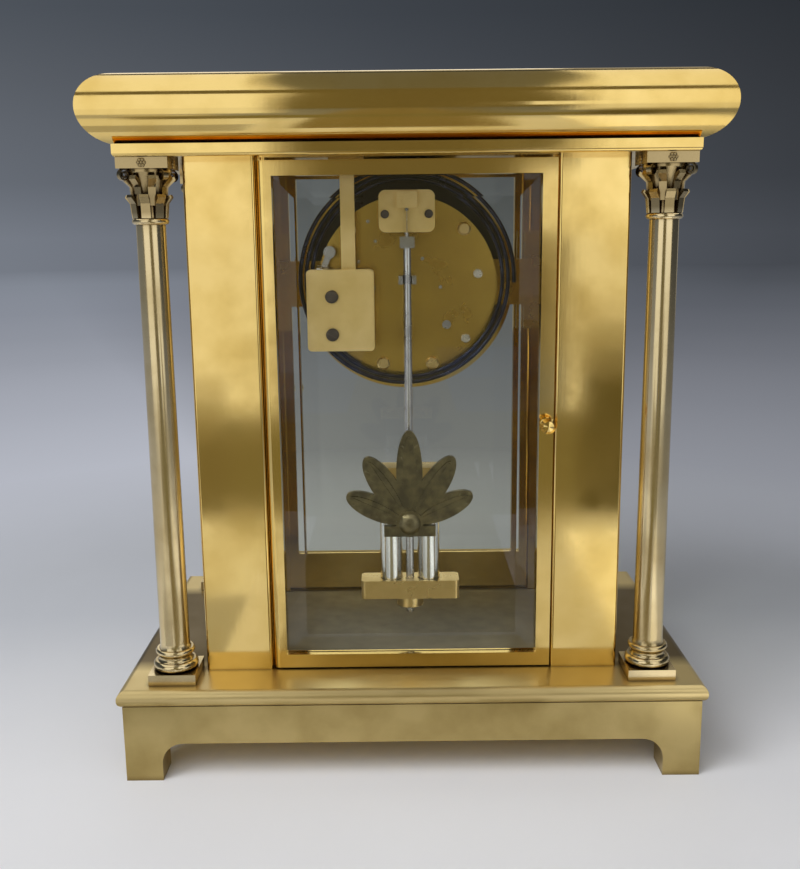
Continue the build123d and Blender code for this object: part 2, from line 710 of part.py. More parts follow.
def winding_arbor(place, hand):
    """Barrel arbor with its ratchet wheel and the square for the key."""
    with BuildPart() as shaft:
        bar(place, FRONT_IN + END_PLAY, BACK_IN - END_PLAY, WINDING_RADIUS)
        bar(place, FRONT_OUT - 3.4, BACK_OUT - PIVOT_SHORT, WINDING_PIVOT)
        pitch = 2 * math.pi / RATCHET_TEETH
        saw = []
        for tooth in range(RATCHET_TEETH):
            root = polar(place, RATCHET_RADIUS - 0.9, math.degrees(tooth * pitch))
            tip = polar(place, RATCHET_RADIUS, math.degrees(tooth * pitch + hand * 0.12 * pitch))
            saw += [root, tip] if hand > 0 else [tip, root]
        prism(saw, CLICK_DEPTH[0], CLICK_DEPTH[1])
        half = 1.15
        box(
            (place[0] - half, place[0] + half),
            (DIAL_Y + 0.6, FRONT_OUT - 3.4),
            (place[1] - half, place[1] + half),
        )
    return shaft.part


def click(name, place, hand):
    """Click on its stud: a ring and a pointed arm whose nose clears the ratchet tips."""
    pivot = CLICK_PIVOT[name]
    nose = polar(place, RATCHET_RADIUS + 0.12, 270 + hand * 40)
    heel = polar(place, RATCHET_RADIUS + 1.5, 270 + hand * 46)
    back = (pivot[0] - hand * 0.9, pivot[1] + 0.6)
    belly = (pivot[0] + hand * 1.2, pivot[1] - 0.4)
    with BuildPart() as pawl:
        prism([back, nose, heel, belly], *CLICK_DEPTH)
        bar(pivot, CLICK_DEPTH[0], CLICK_DEPTH[1], 1.5)
        bar(pivot, CLICK_DEPTH[0] - 1, CLICK_DEPTH[1] + 1, CLICK_STUD + RUNNING, Mode.SUBTRACT)
    return pawl.part


save("going_barrel", barrel(GOING))
save("strike_barrel", barrel(STRIKE))
save("going_arbor", winding_arbor(GOING, 1))
save("strike_arbor", winding_arbor(STRIKE, -1))
save("going_click", click("going", GOING, 1))
save("strike_click", click("strike", STRIKE, -1))


def wheel_on_arbor(place, wheel, pinion):
    """Arbor with one wheel and one pinion, each given as teeth, module, phase and two levels."""
    teeth, module, phase, low, high = wheel
    leaves, leaf_module, leaf_phase, leaf_low, leaf_high = pinion
    radius = teeth * module / 2
    with BuildPart() as turning:
        outline = teeth_outline(place, teeth, module, phase, WHEEL_TOOTH)
        crossed_wheel(place, outline, level(low), level(high), radius - 1.6, 2.4, 4)
        prism(
            teeth_outline(place, leaves, leaf_module, leaf_phase, PINION_TOOTH),
            level(leaf_low),
            level(leaf_high),
        )
        arbor(place, min(ARBOR_RADIUS, leaf_module * (leaves / 2 - 0.9)))
    return turning.part


# Going train, each pinion in mesh with the wheel before it
second_phase = mesh_phase(GOING, BARREL_TEETH, 0, SECOND, BARREL_PINION)
save(
    "second_wheel",
    wheel_on_arbor(
        SECOND,
        (SECOND_TEETH, SECOND_MODULE, 0, 21, 22.2),
        (BARREL_PINION, BARREL_MODULE, second_phase, 14, 18),
    ),
)
centre_phase = mesh_phase(SECOND, SECOND_TEETH, 0, CENTRE, CENTRE_PINION)
with BuildPart() as centre_wheel:
    add(
        wheel_on_arbor(
            CENTRE,
            (CENTRE_TEETH, CENTRE_MODULE, 0, 18, 19.2),
            (CENTRE_PINION, SECOND_MODULE, centre_phase, 20, 23),
        )
    )
    bar(CENTRE, DIAL_Y - 5.2, FRONT_IN + 1, ARBOR_RADIUS)
save("centre_wheel", centre_wheel.part)
third_phase = mesh_phase(CENTRE, CENTRE_TEETH, 0, THIRD, THIRD_PINION)
save(
    "third_wheel",
    wheel_on_arbor(
        THIRD,
        (THIRD_TEETH, THIRD_MODULE, 0, 24, 25),
        (THIRD_PINION, CENTRE_MODULE, third_phase, 17.2, 20),
    ),
)
escape_phase = mesh_phase(THIRD, THIRD_TEETH, 0, ESCAPE, ESCAPE_PINION)
with BuildPart() as escape_wheel:
    pitch = 360 / ESCAPE_TEETH
    claws = []
    for tooth in range(ESCAPE_TEETH):
        claws.append(polar(ESCAPE, ESCAPE_RADIUS - 1.1, tooth * pitch))
        claws.append(polar(ESCAPE, ESCAPE_RADIUS, tooth * pitch + pitch * 0.40))
        claws.append(polar(ESCAPE, ESCAPE_RADIUS, tooth * pitch + pitch * 0.52))
        claws.append(polar(ESCAPE, ESCAPE_RADIUS - 1.1, tooth * pitch + pitch * 0.45))
    crossed_wheel(ESCAPE, claws, level(20), level(21.2), ESCAPE_RADIUS - 2.0, 1.8, 4)
    prism(
        teeth_outline(ESCAPE, ESCAPE_PINION, THIRD_MODULE, escape_phase, PINION_TOOTH),
        level(23),
        level(26),
    )
    arbor(ESCAPE, THIRD_MODULE * 2.1)
save("escape_wheel", escape_wheel.part)

# Anchor with its crutch: the nibs clear the escape teeth over the whole swing
COCK_IN = BACK_OUT + 5.6
CRUTCH_Y = BACK_OUT + 2.0
FORK_Z = DIAL_Z + 3.0
with BuildPart() as anchor:
    lift = math.dist(ANCHOR, polar(ESCAPE, ESCAPE_RADIUS, 90 - PALLET_ANGLE)) * math.radians(SWING)
    bar(ANCHOR, level(19.6), level(21.6), 1.9)
    for side in (1, -1):
        root = polar(ESCAPE, ESCAPE_RADIUS + 2.6, 90 - side * PALLET_ANGLE)
        nib = polar(ESCAPE, ESCAPE_RADIUS + lift + 0.08, 90 - side * PALLET_ANGLE)
        prism(strut(ANCHOR, root, 1.9), level(19.6), level(21.6))
        bar(root, level(19.6), level(21.6), 0.95)
        prism(strut(root, nib, 1.1), level(19.6), level(21.6))
    bar(ANCHOR, FRONT_IN + END_PLAY, COCK_IN - END_PLAY, ARBOR_RADIUS)
    bar(ANCHOR, FRONT_OUT + PIVOT_SHORT, COCK_IN + 2.2, PIVOT_RADIUS)
    bar(ANCHOR, CRUTCH_Y - 1.2, CRUTCH_Y + 1.2, 2.0)
    with Locations((0, CRUTCH_Y, (ANCHOR[1] + FORK_Z) / 2)):
        Cylinder(0.8, ANCHOR[1] - FORK_Z)
    box((-3.2, 3.2), (CRUTCH_Y - 0.8, PENDULUM_Y + 2.4), (FORK_Z - 1.5, FORK_Z + 1.5))
    slot = ROD_RADIUS + 0.15
    box((-slot, slot), (PENDULUM_Y - 3.2, PENDULUM_Y + 3), (FORK_Z - 2, FORK_Z + 2), Mode.SUBTRACT)
save("anchor", anchor.part)

# Back cock: bridge for the anchor's rear pivot, with the clamp of the pendulum's spring
SPRING_TOP = ANCHOR[1] + 0.5
COCK_WIDTH = 20.0
COCK_HEIGHT = 14.0
COCK_THICKNESS = 2.6
with BuildPart() as back_cock:
    with BuildSketch(at_depth(COCK_IN)):
        with Locations((0, ANCHOR[1] - 1.0)):
            RectangleRounded(COCK_WIDTH, COCK_HEIGHT, 2.5)
    extrude(amount=-COCK_THICKNESS)
    for side in (1, -1):
        leg = (side * (COCK_WIDTH / 2 - 3.4), side * (COCK_WIDTH / 2 - 0.2))
        box(leg, (BACK_OUT, COCK_IN + 1), (ANCHOR[1] - 2.6, ANCHOR[1] + 1.6))
    bar(ANCHOR, COCK_IN - 1, COCK_IN + 4, PIVOT_RADIUS + RUNNING, Mode.SUBTRACT)
    clamp_y = COCK_IN + COCK_THICKNESS
    box((-3.6, 3.6), (clamp_y, clamp_y + 3.6), (SPRING_TOP, SPRING_TOP + 5))
    bar((0, SPRING_TOP + 2.6), clamp_y + 3.6, clamp_y + 4.6, 1.7)
save("back_cock", back_cock.part)

# Pendulum: flat spring, rod, twin vials of mercury between two bars, leaf ornament and rating nut
SPRING_LOW = ANCHOR[1] - 9.5
BAR_LOW = (BOB_LOW, BOB_LOW + 7)
BAR_HIGH = (BOB_LOW + BOB_RISE, BOB_LOW + BOB_RISE + 4.5)
BAR_SIZES = [(18.4, 5.0, BAR_LOW, 1.6), (12.6, 4.8, BAR_HIGH, 1.2)]
VIAL_LOW = BAR_LOW[1] - 1.5
VIAL_HIGH = BAR_HIGH[0] + 1.5
BAR_BACK = PENDULUM_Y + 4.8
with BuildPart() as suspension_spring:
    box((-0.1, 0.1), (PENDULUM_Y - 1.3, PENDULUM_Y + 1.3), (SPRING_LOW, SPRING_TOP - 0.05))
save("suspension_spring", suspension_spring.part)

with BuildPart() as pendulum_rod:
    box((-2.6, 2.6), (PENDULUM_Y - 2.2, PENDULUM_Y + 2.2), (SPRING_LOW - 4, SPRING_LOW))
    with Locations((0, PENDULUM_Y, (SPRING_LOW - 4 + BOB_LOW - 6.5) / 2)):
        Cylinder(ROD_RADIUS, SPRING_LOW - 4 - BOB_LOW + 6.5)
save("pendulum_rod", pendulum_rod.part)

with BuildPart() as bob_frame:
    for half_width, half_depth, limits, round_edge in BAR_SIZES:
        with BuildPart() as cross_bar:
            box((-half_width, half_width), (PENDULUM_Y - half_depth, PENDULUM_Y + half_depth), limits)
            fillet(cross_bar.edges().filter_by(Axis.Z), round_edge)
        add(cross_bar.part)
    for side in (1, -1):
        with Locations((side * VIAL_X, PENDULUM_Y, (VIAL_LOW + VIAL_HIGH) / 2)):
            Cylinder(VIAL_RADIUS + 0.03, VIAL_HIGH - VIAL_LOW, mode=Mode.SUBTRACT)
    with Locations((0, PENDULUM_Y, (BAR_LOW[0] + BAR_HIGH[1]) / 2)):
        Cylinder(ROD_RADIUS + 0.03, BAR_HIGH[1] - BAR_LOW[0] + 2, mode=Mode.SUBTRACT)
save("bob_frame", bob_frame.part)

with BuildPart() as vials:
    for side in (1, -1):
        with Locations((side * VIAL_X, PENDULUM_Y, (VIAL_LOW + VIAL_HIGH) / 2)):
            Cylinder(VIAL_RADIUS, VIAL_HIGH - VIAL_LOW)
        with Locations((side * VIAL_X, PENDULUM_Y, (VIAL_LOW + 1 + VIAL_HIGH) / 2)):
            Cylinder(VIAL_RADIUS - VIAL_WALL, VIAL_HIGH - VIAL_LOW - 1, mode=Mode.SUBTRACT)
save("vials", vials.part)

with BuildPart() as mercury:
    for side in (1, -1):
        low = VIAL_LOW + 1
        high = VIAL_HIGH - 10
        with Locations((side * VIAL_X, PENDULUM_Y, (low + high) / 2)):
            Cylinder(VIAL_RADIUS - VIAL_WALL - 0.02, high - low)
save("mercury", mercury.part)

PALMETTE_ROOT = (0.0, BOB_LOW + ORNAMENT_RISE)
PALMETTE_LEAVES = [(90, 34.0, 9.6), (57, 29.0, 9.6), (123, 29.0, 9.6), (25, 25.0, 9.0), (155, 25.0, 9.0)]
with BuildPart() as palmette:
    for degrees, length, width in PALMETTE_LEAVES:
        centre = polar(PALMETTE_ROOT, length * 0.56, degrees)
        with BuildSketch(at_depth(BAR_BACK)):
            with Locations(Location((centre[0], centre[1], 0), (0, 0, degrees))):
                Ellipse(length * 0.46, width / 2)
        extrude(amount=-2.0)
        with BuildSketch(at_depth(BAR_BACK + 1.0)):
            with Locations(Location((centre[0], centre[1], 0), (0, 0, degrees))):
                Ellipse(length * 0.40, width / 4)
        extrude(amount=-1.8)
    bar(PALMETTE_ROOT, BAR_BACK, BAR_BACK + 3.0, 5.0)
    box((-9.5, 9.5), (BAR_BACK, BAR_BACK + 2.4), (PALMETTE_ROOT[1] - 5, PALMETTE_ROOT[1] - 1))
save("palmette", palmette.part)

with BuildPart() as rating_nut:
    with Locations((0, PENDULUM_Y, BOB_LOW - 1.8)):
        Cylinder(5.0, 3.4)
        Cylinder(ROD_RADIUS + RUNNING, 3.4, mode=Mode.SUBTRACT)
save("rating_nut", rating_nut.part)

# Motion work and hands in front of the front plate
with BuildPart() as cannon_pinion:
    prism(
        teeth_outline(CENTRE, CANNON_TEETH, MOTION_MODULE, 0, PINION_TOOTH),
        FRONT_OUT - 3.0,
        FRONT_OUT - 0.6,
    )
    bar(CENTRE, DIAL_Y - 4.8, FRONT_OUT - 0.6, CANNON_RADIUS)
    bar(CENTRE, DIAL_Y - 6, FRONT_OUT, ARBOR_RADIUS, Mode.SUBTRACT)
save("cannon_pinion", cannon_pinion.part)

minute_phase = mesh_phase(CENTRE, CANNON_TEETH, 0, MINUTE, MINUTE_TEETH)
with BuildPart() as minute_wheel:
    outline = teeth_outline(MINUTE, MINUTE_TEETH, MOTION_MODULE, minute_phase, WHEEL_TOOTH)
    crossed_wheel(MINUTE, outline, FRONT_OUT - 2.2, FRONT_OUT - 1.0, 4.6, 2.4, 4)
    prism(
        teeth_outline(MINUTE, MINUTE_PINION, HOUR_MODULE, 0, PINION_TOOTH),
        FRONT_OUT - 5.2,
        FRONT_OUT - 2.2,
    )
    bar(MINUTE, FRONT_OUT - 6, FRONT_OUT, MINUTE_STUD + RUNNING, Mode.SUBTRACT)
save("minute_wheel", minute_wheel.part)

hour_phase = mesh_phase(MINUTE, MINUTE_PINION, 0, CENTRE, HOUR_TEETH)
with BuildPart() as hour_wheel:
    outline = teeth_outline(CENTRE, HOUR_TEETH, HOUR_MODULE, hour_phase, WHEEL_TOOTH)
    crossed_wheel(CENTRE, outline, FRONT_OUT - 4.8, FRONT_OUT - 3.6, 5.0, 3.0, 4)
    bar(CENTRE, DIAL_Y - 2.8, FRONT_OUT - 3.6, HOUR_PIPE)
    bar(CENTRE, DIAL_Y - 4, FRONT_OUT - 2, CANNON_RADIUS + RUNNING, Mode.SUBTRACT)
save("hour_wheel", hour_wheel.part)


def hand(length, ring, bore, hub, front):
    """Pointed hand with a pierced disc near its tip, flat between two depths."""
    with BuildPart() as pointer:
        tip = (CENTRE[0], CENTRE[1] + length)
        disc = (CENTRE[0], CENTRE[1] + length * 0.72)
        blade = [(-1.0, CENTRE[1]), (-0.5, disc[1]), tip, (0.5, disc[1]), (1.0, CENTRE[1])]
        prism(blade, front, front + 0.6)
        bar(CENTRE, front, front + 0.6, hub)
        bar(disc, front, front + 0.6, ring)
        bar((disc[0], disc[1] + ring * 0.2), front - 1, front + 2, ring * 0.6, Mode.SUBTRACT)
        bar(CENTRE, front - 1, front + 2, bore, Mode.SUBTRACT)
    return pointer.part


save("hour_hand", hand(DIAL_RADIUS - HOUR_SHORT, 3.0, HOUR_PIPE, 3.4, DIAL_Y - 2.6))
save("minute_hand", hand(DIAL_RADIUS - MINUTE_SHORT, 2.4, CANNON_RADIUS, 2.6, DIAL_Y - 4.6))

# Strike train
strike_phase = mesh_phase(STRIKE, BARREL_TEETH, 0, STRIKE_SECOND, BARREL_PINION)
save(
    "strike_second_wheel",
    wheel_on_arbor(
        STRIKE_SECOND,
        (STRIKE_TEETH, STRIKE_MODULE, 0, 21, 22.2),
        (BARREL_PINION, BARREL_MODULE, strike_phase, 14, 18),
    ),
)
pin_phase = mesh_phase(STRIKE_SECOND, STRIKE_TEETH, 0, PIN_WHEEL, PIN_PINION)
with BuildPart() as pin_wheel:
    add(
        wheel_on_arbor(
            PIN_WHEEL,
            (PIN_TEETH, PIN_MODULE, 0, 24.2, 25.4),
            (PIN_PINION, STRIKE_MODULE, pin_phase, 20, 23),
        )
    )
    for step in range(10):
        bar(polar(PIN_WHEEL, PIN_CIRCLE, step * 36), level(22.2), level(24.4), 0.4)
save("pin_wheel", pin_wheel.part)
lock_phase = mesh_phase(PIN_WHEEL, PIN_TEETH, 0, LOCK, LOCK_PINION)
save(
    "locking_wheel",
    wheel_on_arbor(
        LOCK, (LOCK_TEETH, LOCK_MODULE, 0, 8, 9.2), (LOCK_PINION, PIN_MODULE, lock_phase, 23.4, 26.2)
    ),
)
fly_phase = mesh_phase(LOCK, LOCK_TEETH, 0, FLY, FLY_PINION)
with BuildPart() as fly:
    prism(teeth_outline(FLY, FLY_PINION, LOCK_MODULE, fly_phase, PINION_TOOTH), level(7), level(10.2))
    arbor(FLY, LOCK_MODULE * 2.1)
    prism(strut(polar(FLY, 4.2, 30), polar(FLY, 4.2, 210), 0.6), level(12), level(22))
    bar(FLY, level(11.4), level(22.6), 1.1)
save("fly", fly.part)

# Gong: wire spiral whose inner end turns out into the block that hangs from the ceiling
with BuildPart() as gong:
    inner = Vector(GONG_RADIUS, GONG_Y, GONG_Z)
    with BuildLine() as route:
        lead = Vector(GONG_RADIUS, GONG_Y + GONG_WIRE, GONG_Z - GONG_WIRE)
        Line(lead + (0, GONG_WIRE, 0), lead)
        corner = Vector(GONG_RADIUS, GONG_Y + GONG_WIRE, GONG_Z)
        bend = corner + Vector(0, -1, -1) * GONG_WIRE * math.sqrt(0.5)
        ThreePointArc(lead, bend, inner)
        here = inner
        radius = GONG_RADIUS
        upper = 1
        for turn in range(GONG_HALF_TURNS):
            centre = here - Vector(upper * radius, 0, 0)
            there = centre - Vector(upper * radius, 0, 0)
            ThreePointArc(here, centre + Vector(0, 0, upper * radius), there)
            here = there
            radius += GONG_PITCH / 2
            upper = -upper
        Line(here, here + (0, 0, upper * GONG_WIRE))
    with BuildSketch(Plane(origin=route.line @ 0, z_dir=route.line % 0)):
        Circle(GONG_WIRE / 2)
    sweep()
save("gong", gong.part)

steps = 720
wire = route.wires()[0]
on_wire = [wire @ (step / steps) for step in range(steps + 1)]
route_length = wire.length
nearest = min(
    (first - second).length
    for number, first in enumerate(on_wire)
    for second in on_wire[number + 40 :]
)
section = math.pi * (GONG_WIRE / 2) ** 2
filled = gong.part.volume / (section * route_length)
print("gong: wire", round(route_length, 1), "mm long, its least gap", round(nearest - GONG_WIRE, 2), "mm")
print("gong: volume over section times length", round(filled, 4))

STRAP_X = 21.0
STRAP_Y = GONG_BLOCK_Y + 0.6
BLOCK_X = (12.0, 36.0)
BLOCK_Z = (GONG_Z - 25, GONG_Z + 4)
with BuildPart() as gong_stand:
    box(BLOCK_X, (GONG_BLOCK_Y, GONG_BLOCK_Y + 6), BLOCK_Z)
    fillet(gong_stand.edges().filter_by(Axis.Y), 1.5)
    box((STRAP_X - 2.5, STRAP_X + 2.5), (STRAP_Y, STRAP_Y + 3.0), (BLOCK_Z[1] - 1, CEILING_Z))
    box((STRAP_X - 6, STRAP_X + 6), (STRAP_Y, STRAP_Y + 9.4), (CEILING_Z - 2.2, CEILING_Z))
save("gong_stand", gong_stand.part)

# Hammer: arbor with a lifting tail between the plates, and its head short of the inner gong turn
GONG_CENTRE = (0.0, GONG_Z)
HEAD_ANGLE = 6.0
with BuildPart() as hammer:
    arbor(HAMMER)
    bar(HAMMER, BACK_IN - 1, GONG_Y + 1.2, ARBOR_RADIUS)
    neck_end = polar(GONG_CENTRE, GONG_RADIUS - 3.8, HEAD_ANGLE)
    prism(strut(HAMMER, neck_end, 2.2), GONG_Y - 1.0, GONG_Y + 1.0)
    bar(HAMMER, GONG_Y - 1.6, GONG_Y + 1.6, 2.2)
    head_end = polar(GONG_CENTRE, GONG_RADIUS - GONG_WIRE / 2 - 0.8, HEAD_ANGLE)
    head_start = polar(GONG_CENTRE, GONG_RADIUS - GONG_WIRE / 2 - 5.4, HEAD_ANGLE)
    head_centre = ((head_end[0] + head_start[0]) / 2, (head_end[1] + head_start[1]) / 2)
    with Locations(Location((head_centre[0], GONG_Y, head_centre[1]), (0, 90 - HEAD_ANGLE, 0))):
        Cylinder(1.9, 4.6)
    towards_pins = math.degrees(math.atan2(PIN_WHEEL[1] - HAMMER[1], PIN_WHEEL[0] - HAMMER[0]))
    tail = polar(HAMMER, math.dist(HAMMER, PIN_WHEEL) - PIN_CIRCLE - 0.7, towards_pins)
    prism(strut(HAMMER, tail, 1.4), level(22.4), level(23.8))
save("hammer", hammer.part)

for name, place in (
    ("centre", CENTRE), ("second", SECOND), ("going barrel", GOING), ("third", THIRD), ("escape", ESCAPE),
    ("anchor", ANCHOR), ("minute", MINUTE), ("strike barrel", STRIKE), ("strike second", STRIKE_SECOND),
    ("pin wheel", PIN_WHEEL), ("locking", LOCK), ("fly", FLY), ("hammer", HAMMER),
    ("going click", CLICK_PIVOT["going"]), ("strike click", CLICK_PIVOT["strike"]),
):
    print(name, "at x", round(place[0], 4), "z", round(place[1], 4))
print("hinge at x", HINGE_X, "y", HINGE_Y, "pendulum y", PENDULUM_Y)
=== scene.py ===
"""Looks of the four-glass mantel clock: finishes, small fittings, dial work, stage, light and camera."""

import math

import bmesh
import bpy
from mathutils import Matrix, Vector


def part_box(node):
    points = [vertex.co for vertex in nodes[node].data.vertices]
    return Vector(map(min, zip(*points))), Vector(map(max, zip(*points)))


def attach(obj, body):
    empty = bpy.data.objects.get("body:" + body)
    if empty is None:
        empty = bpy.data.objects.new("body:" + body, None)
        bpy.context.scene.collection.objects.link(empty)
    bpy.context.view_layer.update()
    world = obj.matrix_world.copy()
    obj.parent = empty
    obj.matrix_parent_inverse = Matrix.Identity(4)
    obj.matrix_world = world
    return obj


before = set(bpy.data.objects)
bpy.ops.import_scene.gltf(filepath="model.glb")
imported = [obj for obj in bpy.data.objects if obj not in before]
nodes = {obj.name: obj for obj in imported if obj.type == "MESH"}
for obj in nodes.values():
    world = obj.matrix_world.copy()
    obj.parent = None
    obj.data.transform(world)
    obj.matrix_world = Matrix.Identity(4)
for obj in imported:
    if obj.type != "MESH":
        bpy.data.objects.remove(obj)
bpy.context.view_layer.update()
MM = 0.001
UP = Vector((0, 0, 1))
CORNERS = [f"{end}_{hand}" for end in ("front", "rear") for hand in ("left", "right")]

# Places that the frame gives, in metres
plate_low, plate_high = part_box("back_plate")
block_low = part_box("gong_stand")[0]
cock_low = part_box("back_cock")[0]
DIAL_FACE_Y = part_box("dial_plate")[0].y
DIAL_CENTRE = ((plate_low.x + plate_high.x) / 2, (plate_low.z + plate_high.z) / 2)
BACK_Y = plate_high.y
LEDGE_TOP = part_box("plinth")[1].z
COLUMN_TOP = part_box("column_rear_left")[1].z


# Shader helpers

NOISE_LOW = 0.3
NOISE_HIGH = 0.7


def material(name):
    """New node material with an empty tree, its Principled shader and its output."""
    made = bpy.data.materials.new(name)
    made.use_nodes = True
    tree = made.node_tree
    tree.nodes.clear()
    output = tree.nodes.new("ShaderNodeOutputMaterial")
    shader = tree.nodes.new("ShaderNodeBsdfPrincipled")
    tree.links.new(shader.outputs["BSDF"], output.inputs["Surface"])
    return made, tree, shader, output


def object_coordinates(tree):
    """Object coordinates, which are the frame's own metres."""
    return tree.nodes.new("ShaderNodeTexCoord").outputs["Object"]


def parts_of(tree, vector):
    """X, Y and Z of a vector socket."""
    node = tree.nodes.new("ShaderNodeSeparateXYZ")
    tree.links.new(vector, node.inputs["Vector"])
    return node.outputs


def maths(tree, operation, first, second=None):
    """Result of a Math node on a socket and, where it takes one, a number or another socket."""
    node = tree.nodes.new("ShaderNodeMath")
    node.operation = operation
    tree.links.new(first, node.inputs[0])
    if isinstance(second, float):
        node.inputs[1].default_value = second
    elif second is not None:
        tree.links.new(second, node.inputs[1])
    return node.outputs["Value"]


def vector_maths(tree, operation, vector, other=None):
    """Result of a Vector Math node on a socket and, where it takes one, three numbers."""
    node = tree.nodes.new("ShaderNodeVectorMath")
    node.operation = operation
    tree.links.new(vector, node.inputs[0])
    if other is not None:
        node.inputs[1].default_value = other
    return node.outputs["Value" if operation == "LENGTH" else "Vector"]


def noise(tree, scale, detail=4.0, stretch=(1, 1, 1)):
    """Noise value over the object's own coordinates."""
    mapping = tree.nodes.new("ShaderNodeMapping")
    mapping.inputs["Scale"].default_value = stretch
    tree.links.new(object_coordinates(tree), mapping.inputs["Vector"])
    texture = tree.nodes.new("ShaderNodeTexNoise")
    texture.inputs["Scale"].default_value = scale
    texture.inputs["Detail"].default_value = detail
    tree.links.new(mapping.outputs["Vector"], texture.inputs["Vector"])
    return texture.outputs["Fac"]


def ramp(tree, factor, stops):
    """Colour ramp through (position, colour) stops."""
    node = tree.nodes.new("ShaderNodeValToRGB")
    elements = node.color_ramp.elements
    while len(elements) < len(stops):
        elements.new(0.5)
    for element, (position, colour) in zip(elements, stops):
        element.position = position
        element.color = (*colour, 1)
    tree.links.new(factor, node.inputs["Fac"])
    return node.outputs["Color"]


def two_tones(tree, cloud, positions, deep, bright):
    """Colour that goes from a deep to a bright tone between two positions of a noise."""
    return ramp(tree, cloud, list(zip(positions, (deep, bright))))


def spread(tree, factor, low, high):
    """Factor mapped from the middle of a noise's reach to a low and a high value."""
    node = tree.nodes.new("ShaderNodeMapRange")
    node.inputs["From Min"].default_value = NOISE_LOW
    node.inputs["From Max"].default_value = NOISE_HIGH
    node.inputs["To Min"].default_value = low
    node.inputs["To Max"].default_value = high
    tree.links.new(factor, node.inputs["Value"])
    return node.outputs["Result"]


def scaled(tree, value, low, high):
    """Value as a share of the way from low to high, held between 0 and 1."""
    node = tree.nodes.new("ShaderNodeMapRange")
    node.inputs["From Min"].default_value = low
    node.inputs["From Max"].default_value = high
    tree.links.new(value, node.inputs["Value"])
    return node.outputs["Result"]


def mix_colour(tree, factor, first, second):
    """Two colours mixed by a factor socket; each colour is a socket or three numbers."""
    node = tree.nodes.new("ShaderNodeMix")
    node.data_type = "RGBA"
    tree.links.new(factor, node.inputs["Factor"])
    for socket, colour in ((node.inputs["A"], first), (node.inputs["B"], second)):
        if isinstance(colour, tuple):
            socket.default_value = (*colour, 1)
        else:
            tree.links.new(colour, socket)
    return node.outputs["Result"]


def mix_shader(tree, factor, first, second):
    """Two shaders mixed by a factor socket."""
    node = tree.nodes.new("ShaderNodeMixShader")
    tree.links.new(factor, node.inputs["Fac"])
    tree.links.new(first, node.inputs[1])
    tree.links.new(second, node.inputs[2])
    return node.outputs["Shader"]


def bump(tree, shader, height, strength, distance):
    """Bump from a height socket."""
    node = tree.nodes.new("ShaderNodeBump")
    node.inputs["Strength"].default_value = strength
    node.inputs["Distance"].default_value = distance
    tree.links.new(height, node.inputs["Height"])
    tree.links.new(node.outputs["Normal"], shader.inputs["Normal"])


# Finishes: where the two tones of a cloud lie in its noise, then each finish's own measures

BRASS_TONES_AT = (0.32, 0.62)
METAL_TONES_AT = (0.35, 0.65)
PAINT_TONES_AT = (NOISE_LOW, NOISE_HIGH)

BRASS_CLOUD = 55
RUBBING_SCALE = 900
RUBBING_STRENGTH = 0.06
RUBBING_DEPTH = 0.05 * MM
# Fades of the ledge's top tone and of its painted shade between the columns
TOP_FADE = 1.0 * MM
SHADE_EDGE_FADE = 9.0 * MM
# Painted shade in crevices from ambient occlusion, and over the open surface above a height
CREVICE_SAMPLES = 6
CREVICE_REACH = 3.0 * MM
CREVICE_DARK = 0.35
CREVICE_CLEAR = 0.85
SHADED_ABOVE_FADE = 2.0 * MM
SHADED_ABOVE_SHARE = 0.34

METAL_CLOUD = 120
BRUSHED_SCALE = 1400
BRUSHED_STRETCH = (1, 0.2, 1)
BRUSHED_STRENGTH = 0.05
BRUSHED_DEPTH = 0.04 * MM

STEEL_RADIUS = 2.3 * MM
WHEEL_CLOUD = 150
WHEEL_GOLD = ((0.55, 0.38, 0.12), (0.80, 0.58, 0.22))
WHEEL_STEEL = ((0.38, 0.38, 0.40), (0.60, 0.60, 0.62))
WHEEL_ROUGHNESS = (0.34, 0.2)

GLASS_IOR = 1.45

DIAL_CLOUD = 60
DIAL_PALE = ((0.78, 0.76, 0.70), (0.86, 0.85, 0.80))
DIAL_DARK = ((0.012, 0.010, 0.008), (0.045, 0.034, 0.022))
DIAL_ROUGHNESS = (0.36, 0.24)
DIAL_COAT = 0.3
FACING_AWAY = -0.5

PAINT_CLOUD = 180
PAINT_GRAIN_SCALE = 1100
PAINT_GRAIN_STRENGTH = 0.12
PAINT_GRAIN_DEPTH = 0.06 * MM


